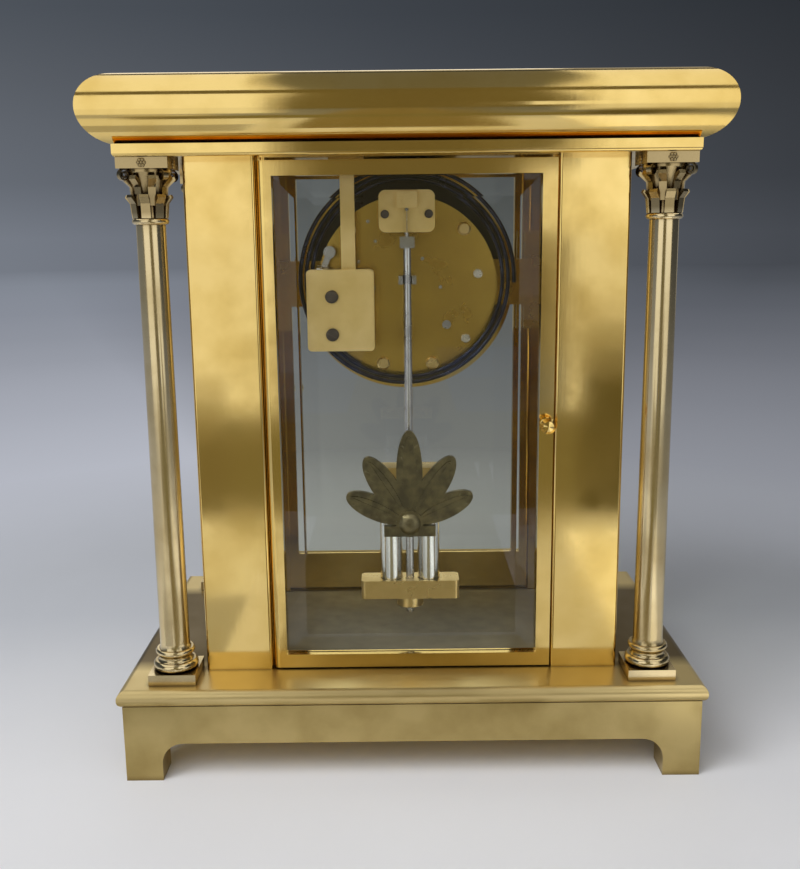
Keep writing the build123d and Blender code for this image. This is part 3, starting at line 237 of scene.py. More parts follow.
def brass(
    name, bright, deep, rough_low, rough_high, grain=(1, 1, 1), crevice_shade=None, dark_from=None, top=None
):
    """Polished brass with cloudy handling marks, fine rubbing lines and, where asked, dark crevices.

    The dark crevices are painted shade, darkest where ambient occlusion finds the surface closed in. Above a
    height given as dark_from, that painted shade spreads over the open surface too. What is given as top is
    a height, the tone of the surface above it, the half depth between the columns within which the ledge
    gets painted shade instead, and the tone of that painted shade.
    """
    made, tree, shader, _ = material(name)
    shader.inputs["Metallic"].default_value = 1.0
    cloud = noise(tree, BRASS_CLOUD, detail=5)
    colour = two_tones(tree, cloud, BRASS_TONES_AT, deep, bright)
    place = parts_of(tree, object_coordinates(tree))
    if top:
        # Painted shade: within a half depth of the middle the ledge takes a dark tone between the columns;
        # above the height the surface takes the top tone
        top_from, top_tone, shaded_depth, shaded_tone = top
        off_middle = maths(tree, "ABSOLUTE", place["Y"])
        outside_shade = scaled(tree, off_middle, shaded_depth, shaded_depth + SHADE_EDGE_FADE)
        above = scaled(tree, place["Z"], top_from, top_from + TOP_FADE)
        colour = mix_colour(tree, above, colour, mix_colour(tree, outside_shade, shaded_tone, top_tone))
    # Painted shade: the colour darkens towards the crevice tone where ambient occlusion finds the surface
    # closed in
    if crevice_shade:
        shade = tree.nodes.new("ShaderNodeAmbientOcclusion")
        shade.samples = CREVICE_SAMPLES
        shade.inputs["Distance"].default_value = CREVICE_REACH
        # Painted shade over the open surface above dark_from, such as the capitals under the slab
        if dark_from:
            above = scaled(tree, place["Z"], dark_from, dark_from + SHADED_ABOVE_FADE)
            shaded_above = tuple((1 - SHADED_ABOVE_SHARE) * a + SHADED_ABOVE_SHARE * b for a, b in zip(deep, crevice_shade))
            colour = mix_colour(tree, above, colour, shaded_above)
        openness = scaled(tree, shade.outputs["AO"], CREVICE_DARK, CREVICE_CLEAR)
        colour = mix_colour(tree, openness, crevice_shade, colour)
    tree.links.new(colour, shader.inputs["Base Color"])
    tree.links.new(spread(tree, cloud, rough_high, rough_low), shader.inputs["Roughness"])
    bump(tree, shader, noise(tree, RUBBING_SCALE, 3, grain), RUBBING_STRENGTH, RUBBING_DEPTH)
    return made


def plain_metal(name, bright, deep, rough_low, rough_high, scale=METAL_CLOUD):
    """Metal of one kind, clouded between two tones."""
    made, tree, shader, _ = material(name)
    shader.inputs["Metallic"].default_value = 1.0
    cloud = noise(tree, scale)
    tree.links.new(two_tones(tree, cloud, METAL_TONES_AT, deep, bright), shader.inputs["Base Color"])
    tree.links.new(spread(tree, cloud, rough_high, rough_low), shader.inputs["Roughness"])
    bump(tree, shader, noise(tree, BRUSHED_SCALE, 2, BRUSHED_STRETCH), BRUSHED_STRENGTH, BRUSHED_DEPTH)
    return made


def wheel_metal(name, centre):
    """Brass wheel on a steel arbor: steel within a radius of the arbor's line along Y."""
    made, tree, shader, _ = material(name)
    shader.inputs["Metallic"].default_value = 1.0
    offset = vector_maths(tree, "SUBTRACT", object_coordinates(tree), (centre.x, 0, centre.z))
    flat = vector_maths(tree, "MULTIPLY", offset, (1, 0, 1))
    inside = maths(tree, "LESS_THAN", vector_maths(tree, "LENGTH", flat), STEEL_RADIUS)
    cloud = noise(tree, WHEEL_CLOUD)
    gold = two_tones(tree, cloud, METAL_TONES_AT, *WHEEL_GOLD)
    steel = two_tones(tree, cloud, METAL_TONES_AT, *WHEEL_STEEL)
    tree.links.new(mix_colour(tree, inside, gold, steel), shader.inputs["Base Color"])
    tree.links.new(spread(tree, cloud, *WHEEL_ROUGHNESS), shader.inputs["Roughness"])
    return made


def clear_glass(name, tint):
    """Clear glass that lets lamp light through to what stands behind it."""
    made, tree, shader, output = material(name)
    shader.inputs["Base Color"].default_value = (*tint, 1)
    shader.inputs["Roughness"].default_value = 0.0
    shader.inputs["IOR"].default_value = GLASS_IOR
    shader.inputs["Transmission Weight"].default_value = 1.0
    through = tree.nodes.new("ShaderNodeBsdfTransparent")
    through.inputs["Color"].default_value = (*tint, 1)
    shadow_ray = tree.nodes.new("ShaderNodeLightPath").outputs["Is Shadow Ray"]
    surface = mix_shader(tree, shadow_ray, shader.outputs["BSDF"], through.outputs["BSDF"])
    tree.links.new(surface, output.inputs["Surface"])
    return made


def dial_enamel(name):
    """Pale enamel on the face, dark bare metal on the edge and back, told apart by the way they face."""
    made, tree, shader, _ = material(name)
    normal = tree.nodes.new("ShaderNodeTexCoord").outputs["Normal"]
    away = maths(tree, "GREATER_THAN", parts_of(tree, normal)["Y"], FACING_AWAY)
    cloud = noise(tree, DIAL_CLOUD, detail=5)
    enamel = two_tones(tree, cloud, PAINT_TONES_AT, *DIAL_PALE)
    dark = two_tones(tree, cloud, PAINT_TONES_AT, *DIAL_DARK)
    tree.links.new(mix_colour(tree, away, enamel, dark), shader.inputs["Base Color"])
    tree.links.new(spread(tree, cloud, *DIAL_ROUGHNESS), shader.inputs["Roughness"])
    shader.inputs["Coat Weight"].default_value = DIAL_COAT
    return made


def dark_paint(name, low, high, roughness):
    """Dark matt paint with faint mottling."""
    made, tree, shader, _ = material(name)
    cloud = noise(tree, PAINT_CLOUD, detail=5)
    tree.links.new(two_tones(tree, cloud, PAINT_TONES_AT, low, high), shader.inputs["Base Color"])
    shader.inputs["Roughness"].default_value = roughness
    bump(tree, shader, noise(tree, PAINT_GRAIN_SCALE, 3), PAINT_GRAIN_STRENGTH, PAINT_GRAIN_DEPTH)
    return made


# Capitals: painted shade from this height up, under the overhang of the slab
CAPITAL_FROM = COLUMN_TOP - 19.0 * MM
# Plinth ledge: a lighter tone on its top 4 mm, and painted shade on it between the columns
LEDGE_FROM = LEDGE_TOP - 4.0 * MM
LEDGE_TOP_TONE = (0.74, 0.58, 0.27)
LEDGE_PAINTED_SHADE = (0.15, 0.105, 0.04)
SHADED_DEPTH = 35.0 * MM
CASE_GRAIN = (1, 1, 0.08)
UPRIGHT_GRAIN = (1, 1, 0.1)
SIDEWAYS_GRAIN = (0.1, 1, 1)
BRONZE_CLOUD = 260
MERCURY_CLOUD = 60

# Plinth and columns get painted shade in their crevices; the columns also above CAPITAL_FROM, the plinth
# ledge between the columns
PLINTH_BRASS = brass(
    "plinth_brass", (0.56, 0.43, 0.18), (0.43, 0.32, 0.12), 0.30, 0.44, UPRIGHT_GRAIN,
    crevice_shade=(0.14, 0.09, 0.03), top=(LEDGE_FROM, LEDGE_TOP_TONE, SHADED_DEPTH, LEDGE_PAINTED_SHADE),
)
COLUMN_BRASS = brass(
    "column_brass", (0.80, 0.65, 0.37), (0.62, 0.48, 0.24), 0.14, 0.26, UPRIGHT_GRAIN,
    crevice_shade=(0.09, 0.055, 0.02), dark_from=CAPITAL_FROM,
)
CASE_BRASS = brass("case_brass", (0.90, 0.66, 0.24), (0.80, 0.56, 0.17), 0.07, 0.17, CASE_GRAIN)
PLATE_BRASS = brass("plate_brass", (0.78, 0.55, 0.14), (0.44, 0.28, 0.06), 0.16, 0.30, SIDEWAYS_GRAIN)
SATIN_BRASS = brass("satin_brass", (0.88, 0.68, 0.32), (0.72, 0.53, 0.20), 0.40, 0.55, SIDEWAYS_GRAIN)
WORK_BRASS = brass("work_brass", (0.84, 0.64, 0.30), (0.62, 0.44, 0.16), 0.22, 0.38)
STEEL = plain_metal("steel", (0.62, 0.62, 0.63), (0.40, 0.40, 0.42), 0.18, 0.32)
BLUED = plain_metal("blued_steel", (0.045, 0.05, 0.085), (0.02, 0.02, 0.03), 0.25, 0.40)
BRONZE = plain_metal("dark_bronze", (0.24, 0.205, 0.115), (0.10, 0.085, 0.05), 0.30, 0.50, BRONZE_CLOUD)
PALE_STEEL = plain_metal("pale_steel", (0.88, 0.86, 0.82), (0.72, 0.70, 0.66), 0.2, 0.34)
MERCURY = plain_metal("mercury", (0.92, 0.91, 0.88), (0.84, 0.83, 0.80), 0.14, 0.22, MERCURY_CLOUD)
PANE = clear_glass("pane_glass", (0.96, 0.97, 0.94))
DEEP_PANE = clear_glass("deep_pane_glass", (0.85, 0.86, 0.77))
VIAL = clear_glass("vial_glass", (0.97, 0.98, 0.98))
DIAL = dial_enamel("dial_enamel")
DIAL_BLACK = dark_paint("dial_black", (0.008, 0.008, 0.009), (0.02, 0.02, 0.022), 0.4)
SCREW_DARK = plain_metal("screw_steel", (0.16, 0.14, 0.13), (0.07, 0.06, 0.06), 0.28, 0.42)
# The cabinet floor panel's near-black paint is painted shade, standing in for the dark inside the case
FLOOR_PAINTED_SHADE = dark_paint("cabinet_floor_painted_shade", (0.065, 0.052, 0.030), (0.110, 0.090, 0.055), 0.45)

FINISH = {
    CASE_BRASS: [
        "top_slab", "ceiling_plate", "bottom_plate", "dial_bezel", *[f"post_{corner}" for corner in CORNERS],
        "rear_door_frame", "front_door_frame", "rear_door_knob", "front_door_knob",
    ],
    PLINTH_BRASS: ["plinth", "bracket_feet"],
    COLUMN_BRASS: [f"column_{corner}" for corner in CORNERS],
    PLATE_BRASS: ["front_plate", "back_plate", "movement_bracket_left", "movement_bracket_right"],
    SATIN_BRASS: ["back_cock", "gong_stand"],
    WORK_BRASS: [
        "pillars", "going_barrel", "strike_barrel", "minute_wheel", "hour_wheel", "bob_frame", "rating_nut",
    ],
    STEEL: [
        "going_arbor", "strike_arbor", "going_click", "strike_click", "cannon_pinion", "anchor", "hammer",
        "pendulum_rod", "suspension_spring",
    ],
    BLUED: ["gong", "hour_hand", "minute_hand"],
    BRONZE: ["palmette"],
    MERCURY: ["mercury"],
    PANE: ["side_glass_left", "side_glass_right", "rear_door_glass"],
    DEEP_PANE: ["front_door_glass"],
    VIAL: ["vials"],
    DIAL: ["dial_plate"],
    FLOOR_PAINTED_SHADE: ["floor_panel"],
}
WHEELS = [
    "second_wheel", "centre_wheel", "third_wheel", "escape_wheel", "strike_second_wheel", "pin_wheel",
    "locking_wheel", "fly",
]


def dress(node, finish):
    """Give a CAD node one finish."""
    slots = nodes[node].data.materials
    slots.clear()
    slots.append(finish)


for finish, names in FINISH.items():
    for name in names:
        dress(name, finish)

for name in WHEELS:
    low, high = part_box(name)
    dress(name, wheel_metal(f"{name}_metal", (low + high) / 2))


# Mesh helpers

SHARP_ANGLE = math.radians(35)
SECTION_CORNERS = ((-1, -1), (1, -1), (1, 1), (-1, 1))

# Screw head: sink and, as shares of its radius or height, the other measures
SCREW_SINK = 0.05 * MM
SCREW_HEIGHT = 0.7
SCREW_SLOT_FLOOR = 0.5
SCREW_SLOT_HALF = 0.17
SCREW_RIM = 0.82
SCREW_TOP_RADIUS = 0.86
SCREW_SEGMENTS = 32
SCREW_ARC_STEPS = 14


def piece(name, mesh_builder, finish, body, smooth=True):
    """Finish a bmesh as one piece that rides on a body."""
    bmesh.ops.recalc_face_normals(mesh_builder, faces=mesh_builder.faces)
    mesh = bpy.data.meshes.new(name)
    mesh_builder.to_mesh(mesh)
    mesh_builder.free()
    made = bpy.data.objects.new(name, mesh)
    bpy.context.scene.collection.objects.link(made)
    mesh.materials.append(finish)
    if smooth:
        mesh.shade_smooth()
        mesh.set_sharp_from_angle(angle=SHARP_ANGLE)
    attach(made, body)


def add_prism(builder, outline, y_near, y_far):
    """Prism along Y of an (x, z) outline, added to a bmesh."""
    near = [builder.verts.new((x, y_near, z)) for x, z in outline]
    far = [builder.verts.new((x, y_far, z)) for x, z in outline]
    builder.faces.new(near)
    builder.faces.new(far)
    for number in range(len(outline)):
        following = (number + 1) % len(outline)
        builder.faces.new((near[number], near[following], far[following], far[number]))


def add_lathe(builder, profile, place, segments=40):
    """Solid turned about the line along Y through an (x, z) place, from a loop of (radius, y) points."""
    rings = []
    for step in range(segments):
        angle = 2 * math.pi * step / segments
        ring = []
        for radius, y in profile:
            x = place[0] + radius * math.cos(angle)
            z = place[1] + radius * math.sin(angle)
            ring.append(builder.verts.new((x, y, z)))
        rings.append(ring)
    count = len(profile)
    for step in range(segments):
        first, second = rings[step], rings[(step + 1) % segments]
        for number in range(count):
            following = (number + 1) % count
            builder.faces.new((first[number], second[number], second[following], first[following]))


def add_ribbon(builder, points, across, width, thickness):
    """Strip of even section along points that lie in the plane square to one sideways direction."""
    rows = []
    for number, point in enumerate(points):
        before = points[max(number - 1, 0)]
        after = points[min(number + 1, len(points) - 1)]
        normal = across.cross((after - before).normalized())
        row = [point + across * a * width / 2 + normal * b * thickness / 2 for a, b in SECTION_CORNERS]
        rows.append([builder.verts.new(corner) for corner in row])
    for first, second in zip(rows, rows[1:]):
        for number in range(4):
            following = (number + 1) % 4
            builder.faces.new((first[number], first[following], second[following], second[number]))
    builder.faces.new(rows[0])
    builder.faces.new(rows[-1])


def slotted_screw(name, place, y_seat, radius, turn, finish=SCREW_DARK):
    """Cheese-head screw of the case, seen along Y: a rounded head with a slot across it."""
    builder = bmesh.new()
    height = radius * SCREW_HEIGHT
    floor = y_seat + height * SCREW_SLOT_FLOOR
    levels = (
        (radius, floor), (radius, y_seat + height * SCREW_RIM), (radius * SCREW_TOP_RADIUS, y_seat + height),
    )
    full = [2 * math.pi * step / SCREW_SEGMENTS for step in range(SCREW_SEGMENTS)]
    disc = [(place[0] + radius * math.cos(a), place[1] + radius * math.sin(a)) for a in full]
    add_prism(builder, disc, y_seat - SCREW_SINK, floor)
    start = math.asin(SCREW_SLOT_HALF)
    sweep = math.pi - 2 * start
    for side in (0, math.pi):
        rows = [[], [], []]
        for step in range(SCREW_ARC_STEPS + 1):
            angle = side + start + sweep * step / SCREW_ARC_STEPS + turn
            for row, (reach, y) in zip(rows, levels):
                x = place[0] + reach * math.cos(angle)
                z = place[1] + reach * math.sin(angle)
                row.append(builder.verts.new((x, y, z)))
        for lower, upper in zip(rows, rows[1:]):
            for number in range(SCREW_ARC_STEPS):
                builder.faces.new((lower[number], lower[number + 1], upper[number + 1], upper[number]))
            builder.faces.new((lower[-1], lower[0], upper[0], upper[-1]))
        builder.faces.new(rows[-1])
        builder.faces.new(rows[0])
    piece(name, builder, finish, "case")


# Screws of the movement, the gong block and the brackets; turn is the way a slot lies, in radians

BLOCK_THICKNESS = 6.0 * MM
BLOCK_SCREW_X = 15.0 * MM
BLOCK_SCREW_Z = 6.0 * MM
BLOCK_SCREW_RADIUS = 2.3 * MM
SCREW_PITCH = 13.5 * MM
BRACKET_SHEET = 2.4 * MM
BRACKET_SCREW_EDGE = 5.2 * MM
BRACKET_SCREW_RADIUS = 2.0 * MM
COCK_FACE = BACK_Y + 8.2 * MM
COCK_SCREW_X = 7.8 * MM
COCK_SCREW_Z = 6.4 * MM
COCK_SCREW_RADIUS = 1.5 * MM
PLATE_SCREWS = ((-26.0, 4.7), (-21.5, -19.0), (22.5, -18.0), (26.5, -5.0), (4.0, 26.5))
PLATE_SCREW_RADIUS = 1.7 * MM

for index in range(2):
    place = (block_low.x + BLOCK_SCREW_X, block_low.z + BLOCK_SCREW_Z + index * SCREW_PITCH)
    seat = block_low.y + BLOCK_THICKNESS
    slotted_screw(f"gong_screw_{index + 1}", place, seat, BLOCK_SCREW_RADIUS, turn=0.5 + index)

for hand in ("left", "right"):
    low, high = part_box(f"movement_bracket_{hand}")
    x = low.x + BRACKET_SCREW_EDGE if hand == "left" else high.x - BRACKET_SCREW_EDGE
    seat = low.y + BRACKET_SHEET
    for index in range(3):
        place = (x, (low.z + high.z) / 2 + (index - 1) * SCREW_PITCH)
        name = f"bracket_screw_{hand}_{index + 1}"
        slotted_screw(name, place, seat, BRACKET_SCREW_RADIUS, turn=0.4 + index)

for index, sign in enumerate((-1, 1)):
    place = (sign * COCK_SCREW_X, cock_low.z + COCK_SCREW_Z)
    slotted_screw(f"cock_screw_{index + 1}", place, COCK_FACE, COCK_SCREW_RADIUS, turn=0.9 + index)

for index, (x, z) in enumerate(PLATE_SCREWS):
    place = (DIAL_CENTRE[0] + x * MM, DIAL_CENTRE[1] + z * MM)
    name = f"plate_screw_{index + 1}"
    slotted_screw(name, place, BACK_Y, PLATE_SCREW_RADIUS, turn=0.7 * index, finish=PALE_STEEL)


# Capitals: corner scrolls and a small flower on each face of the top square

SCROLL_RADIUS = 2.0 * MM
SCROLL_TURNS = 1.7
SCROLL_STEPS = 26
SCROLL_START = math.radians(120)
SCROLL_SHRINK = 0.78
SCROLL_WIDTH = 1.7 * MM
SCROLL_THICKNESS = 0.5 * MM
SCROLL_OUT = 9.0 * MM
ABACUS = 3.5 * MM
PETALS = 6
PETAL_OUT = 0.95 * MM
PETAL_SIZE = (0.6 * MM, 0.6 * MM, 0.42 * MM)


def level(angle):
    """Level direction at an angle from X."""
    return Vector((math.cos(angle), math.sin(angle), 0))


def add_scroll(builder, centre, outward):
    """Spiral scroll that curls outwards and down in the plane of an outward direction."""
    points = []
    for step in range(SCROLL_STEPS + 1):
        share = step / SCROLL_STEPS
        angle = SCROLL_START - 2 * math.pi * SCROLL_TURNS * share
        radius = SCROLL_RADIUS * (1 - SCROLL_SHRINK * share)
        points.append(centre + outward * radius * math.cos(angle) + UP * radius * math.sin(angle))
    add_ribbon(builder, points, UP.cross(outward), SCROLL_WIDTH, SCROLL_THICKNESS)


def add_flower(builder, centre, outward):
    """Flat flower of petals round an eye, on a face square to an outward direction."""
    sideways = UP.cross(outward)
    turn = outward.to_track_quat("Z", "Y").to_matrix().to_4x4()
    squash = Matrix.Diagonal((*PETAL_SIZE, 1))
    for petal in range(PETALS + 1):
        angle = 2 * math.pi * petal / PETALS
        reach = PETAL_OUT if petal < PETALS else 0
        place = centre + sideways * reach * math.cos(angle) + UP * reach * math.sin(angle)
        shape = Matrix.Translation(place) @ turn @ squash
        bmesh.ops.create_uvsphere(builder, u_segments=10, v_segments=6, radius=1.0, matrix=shape)


def capital_work(corner):
    """Scrolls and flowers of one column's capital."""
    low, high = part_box(f"column_{corner}")
    middle = (low + high) / 2
    half = (high.x - low.x) / 2
    builder = bmesh.new()
    for quarter in range(4):
        diagonal = level(math.pi * (quarter / 2 + 0.25))
        centre = Vector((middle.x, middle.y, high.z - ABACUS - SCROLL_RADIUS)) + diagonal * SCROLL_OUT
        add_scroll(builder, centre, diagonal)
        face = level(math.pi * quarter / 2)
        add_flower(builder, Vector((middle.x, middle.y, high.z - ABACUS / 2)) + face * half, face)
    piece(f"capital_work_{corner}", builder, COLUMN_BRASS, "case")


for corner in CORNERS:
    capital_work(corner)


# Palmette: a raised midrib and side veins on each leaf, and a boss at the root

LEAVES = ((90, 34.0), (57, 29.0), (123, 29.0), (25, 25.0), (155, 25.0))
ROOT_HEIGHT = 5.0 * MM
RIB_SHARES = (0.22, 0.4, 0.6, 0.8, 0.93)
RIB_SINK = 0.15 * MM
RIB_WIDTH = 0.9 * MM
RIB_THICKNESS = 0.7 * MM
VEIN_SHARES = (0.36, 0.5, 0.64, 0.78)
VEIN_SINK = 0.2 * MM
VEIN_REACH = 3.0 * MM
VEIN_DROP = 0.9 * MM
VEIN_WIDTH = 0.5 * MM
BOSS_PROFILE = ((0.01, 0.0), (4.2, -0.2), (3.4, 0.8), (1.8, 1.4), (0.01, 1.5))
BOSS_SEGMENTS = 32


def palmette_veins():
    """Chased veins of the leaf ornament, in its own dark bronze."""
    low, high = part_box("palmette")
    root = Vector(((low.x + high.x) / 2, high.y, low.z + ROOT_HEIGHT))
    builder = bmesh.new()
    out = Vector((0, 1, 0))
    for degrees, length in LEAVES:
        angle = math.radians(degrees)
        along = Vector((math.cos(angle), 0, math.sin(angle)))
        side = along.cross(out)
        rib = [root + along * length * share * MM - out * RIB_SINK for share in RIB_SHARES]
        add_ribbon(builder, rib, side, RIB_WIDTH, RIB_THICKNESS)
        for share in VEIN_SHARES:
            for hand in (-1, 1):
                start = root + along * length * share * MM - out * VEIN_SINK
                end = start + (along + side * hand) * VEIN_REACH - out * VEIN_DROP
                across = (end - start).normalized().cross(out).normalized()
                add_ribbon(builder, [start, (start + end) / 2, end], across, VEIN_WIDTH, VEIN_WIDTH)
    profile = [(radius * MM, root.y + rise * MM) for radius, rise in BOSS_PROFILE]
    add_lathe(builder, profile, (root.x, root.z), BOSS_SEGMENTS)
    piece("palmette_veins", builder, BRONZE, "pendulum")


palmette_veins()


# Dial work: numerals, minute track and winding collets, all a hair proud of the enamel

INK = 0.12 * MM
NUMERAL_RADIUS = 30.6 * MM
NUMERAL_TOP = 3.2 * MM
THICK = 1.05 * MM
THIN = 0.34 * MM
SERIF_REACH = 0.85 * MM
SERIF_HEIGHT = 0.28 * MM
SIDE_BEARING = 0.55 * MM
THIN_FOOT = 0.2 * MM
NUMERALS = ("XII", "I", "II", "III", "IIII", "V", "VI", "VII", "VIII", "IX", "X", "XI")
WIDE = {"I": 1.9 * MM, "V": 4.3 * MM, "X": 4.6 * MM}
TRACK_INNER = 36.2 * MM
TRACK_OUTER = 38.0 * MM
TRACK_LINE = 0.22 * MM
TRACK_SEGMENTS = 120
HOUR_MARK_HALF = 0.45 * MM
MINUTE_MARK_HALF = 0.16 * MM
COLLET_PROFILE = ((3.2, 0.0), (3.2, 0.5), (3.6, 0.8), (4.2, 0.6), (4.5, 0.0))


def slanted(x_foot, x_head, width):
    """Outline of one slanting stroke of a numeral's full height."""
    half = width / 2
    foot = [(x_foot - half, -NUMERAL_TOP), (x_foot + half, -NUMERAL_TOP)]
    return foot + [(x_head + half, NUMERAL_TOP), (x_head - half, NUMERAL_TOP)]


def serif(x, low, high):
    """Outline of the short bar across a stroke's end."""
    left, right = x - SERIF_REACH, x + SERIF_REACH
    return [(left, low), (right, low), (right, high), (left, high)]


def letter(sign, x):
    """Strokes of one numeral sign about a middle line at x."""
    half = WIDE[sign] / 2 - SIDE_BEARING
    left, right = x - half, x + half
    if sign == "I":
        strokes = [slanted(x, x, THICK)]
        feet = heads = [x]
    elif sign == "V":
        strokes = [slanted(x, left, THICK), slanted(x + THIN_FOOT, right, THIN)]
        feet = []
        heads = [left, right]
    else:
        strokes = [slanted(right, left, THICK), slanted(left, right, THIN)]
        feet = heads = [left, right]
    strokes += [serif(foot, -NUMERAL_TOP, -NUMERAL_TOP + SERIF_HEIGHT) for foot in feet]
    strokes += [serif(head, NUMERAL_TOP - SERIF_HEIGHT, NUMERAL_TOP) for head in heads]
    return strokes


def add_ink(builder, outline, turn):
    """Mark of an (across, radius) outline, turned about the dial's centre."""
    turned = [Matrix.Rotation(turn, 2) @ Vector(point) for point in outline]
    placed = [(DIAL_CENTRE[0] + point.x, DIAL_CENTRE[1] + point.y) for point in turned]
    add_prism(builder, placed, DIAL_FACE_Y - INK, DIAL_FACE_Y)


def dial_numerals():
    """Hour numerals round the dial, their feet towards the centre."""
    builder = bmesh.new()
    for hour, word in enumerate(NUMERALS):
        turn = -2 * math.pi * hour / 12
        x = -sum(WIDE[sign] for sign in word) / 2
        for sign in word:
            for stroke in letter(sign, x + WIDE[sign] / 2):
                outline = [(across, NUMERAL_RADIUS + along) for across, along in stroke]
                add_ink(builder, outline, turn)
            x += WIDE[sign]
    piece("dial_numerals", builder, DIAL_BLACK, "case", smooth=False)


def minute_track():
    """Two fine rings with a mark for each minute, broader at the hours."""
    builder = bmesh.new()
    face, ink = DIAL_FACE_Y, DIAL_FACE_Y - INK
    for inner in (TRACK_INNER, TRACK_OUTER):
        outer = inner + TRACK_LINE
        profile = [(inner, face), (outer, face), (outer, ink), (inner, ink)]
        add_lathe(builder, profile, DIAL_CENTRE, TRACK_SEGMENTS)
    foot, head = TRACK_INNER + TRACK_LINE, TRACK_OUTER
    for minute in range(60):
        half = HOUR_MARK_HALF if minute % 5 == 0 else MINUTE_MARK_HALF
        outline = [(-half, foot), (half, foot), (half, head), (-half, head)]
        add_ink(builder, outline, -2 * math.pi * minute / 60)
    piece("minute_track", builder, DIAL_BLACK, "case", smooth=False)


def winding_collet(name, node):
    """Turned brass ring round a winding hole."""
    low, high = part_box(node)
    place = ((low.x + high.x) / 2, (low.z + high.z) / 2)
    profile = [(radius * MM, DIAL_FACE_Y - rise * MM) for radius, rise in COLLET_PROFILE]
    builder = bmesh.new()
    add_lathe(builder, profile, place)
    piece(name, builder, CASE_BRASS, "case")


dial_numerals()
minute_track()
winding_collet("going_collet", "going_arbor")
winding_collet("strike_collet", "strike_arbor")


# Stage: a pale floor that fades into a slate room, soft boxes, and plain cards that polished metal mirrors


def grey(tone):
    """Grey of one tone."""
    return (tone, tone, tone)


FLOOR_REACH = 6.0
FLOOR_SEGMENTS = 96
FLOOR_GRAIN = 9
FLOOR_ROUGHNESS = 0.75
FLOOR_SPECULAR = 0.15
FLOOR_PALE = ((0.80, 0.805, 0.83), (0.825, 0.83, 0.855))
# Dimmer floor tone towards -Y, on the far side of the clock from the camera: painted shadow of the clock
FLOOR_DIM = ((0.58, 0.605, 0.655), (0.60, 0.625, 0.675))
DIM_BACK = -0.10
DIM_FRONT = 0.06
FADE_START = 0.26
FADE_END = 0.50
# Tones of the far floor's glow, darkening with distance: a painted falloff of light
FLOOR_TONES = [
    (0.067, (0.390, 0.405, 0.455)), (0.135, (0.300, 0.314, 0.358)), (0.215, (0.230, 0.243, 0.280)),
    (0.283, (0.197, 0.210, 0.244)), (0.397, (0.168, 0.181, 0.213)), (0.627, (0.140, 0.153, 0.180)),
    (1.0, (0.109, 0.120, 0.142)),
]
ROOM_HEIGHT = 0.4
ROOM_TONES = [
    (0.0, (0.109, 0.120, 0.142)), (0.125, (0.080, 0.089, 0.105)), (0.24, (0.072, 0.080, 0.094)),
    (0.35, (0.061, 0.068, 0.080)), (0.5, (0.046, 0.053, 0.064)), (1.0, (0.030, 0.036, 0.045)),
]
SIDE_SPAN = 0.5
SIDE_NEAR = 0.5
SIDE_FAR = 4.0
NEAR_SIDES = [(0.14, 0.72), (0.32, 0.56), (0.5, 0.54), (0.64, 0.62), (0.86, 1.25)]
FAR_SIDES = [(0.14, 0.56), (0.5, 1.05), (0.86, 1.65)]
FILL_TONE = (0.105, 0.105, 0.11)

# Each soft box: name, place, aim, width, height, radiance, whether polished metal mirrors it
SOFT_BOXES = [
    ("soft_box_left", (0.465, 0.66, 1.0), (0.2, 0.05, 0.1), 0.7, 0.7, 0.7, False),
    ("soft_box_right", (-0.495, 0.66, 1.0), (-0.2, 0.05, 0.1), 0.7, 0.7, 0.5, False),
    ("soft_box_key", (1.0, 0.75, 1.25), (0.0, 0.05, 0), 0.9, 0.9, 6.6, False),
    ("soft_box_camera_side", (0.25, 1.3, 1.0), (-0.05, 0.2, 0), 0.8, 0.8, 3.2, False),
    ("soft_box_top", (0.0, 0.40, 1.2), (0.0, 0.15, 0), 0.5, 0.7, 0.4, False),
    ("soft_box_top_right", (-0.62, 0.45, 1.0), (-0.1, 0.15, 0), 0.7, 0.7, 0.1, True),
    ("soft_box_front", (0.2, -1.1, 0.75), (0, 0, 0.12), 0.9, 0.6, 0.8, True),
]

# Each upright card: name, span along X, Y, foot, top, tone
SIDE_Y = 0.66
SIDE_TOP = 0.71
SIDE_SPLIT = 0.19
SIDE_LEFT = (0.115, 0.815)
WALL_SPAN = (-2.0, 2.0)
UPRIGHT_CARDS = [
    ("pale_side_left", SIDE_LEFT, SIDE_Y, 0.0, SIDE_SPLIT, grey(0.90)),
    ("pale_side_left_high", SIDE_LEFT, SIDE_Y, SIDE_SPLIT, SIDE_TOP, grey(1.0)),
    ("pale_side_right", (-0.845, -0.158), SIDE_Y, 0.0, SIDE_SPLIT, grey(0.84)),
    ("pale_side_right_high", (-0.845, -0.165), SIDE_Y, SIDE_SPLIT, SIDE_TOP, grey(1.08)),
    ("pale_stile_right", (-0.165, -0.115), SIDE_Y, SIDE_SPLIT, 0.25, grey(1.0)),
    ("room_wall", WALL_SPAN, 1.4, 0.0, 2.0, (0.155, 0.133, 0.072)),
    ("grey_behind", WALL_SPAN, -1.6, 0.0, 1.8, (0.30, 0.29, 0.26)),
]

# Each graded card stands at EDGE_Y: name, span along X, and the top and tone of its strips from the floor up
EDGE_Y = 0.36
GRADED_CARDS = [
    ("dark_edge_left", (0.118, 0.18), [
        (0.064, (0.18, 0.157, 0.085)), (0.080, (0.36, 0.34, 0.27)), (0.098, (0.60, 0.58, 0.53)),
    ]),
    ("dark_edge_middle", (-0.118, 0.118), [(0.072, (0.20, 0.18, 0.10))]),
    ("dark_edge_right", (-0.18, -0.118), [
        (0.096, (0.11, 0.096, 0.046)), (0.114, (0.23, 0.21, 0.15)), (0.132, (0.40, 0.38, 0.31)),
        (0.148, (0.66, 0.64, 0.59)),
    ]),
]

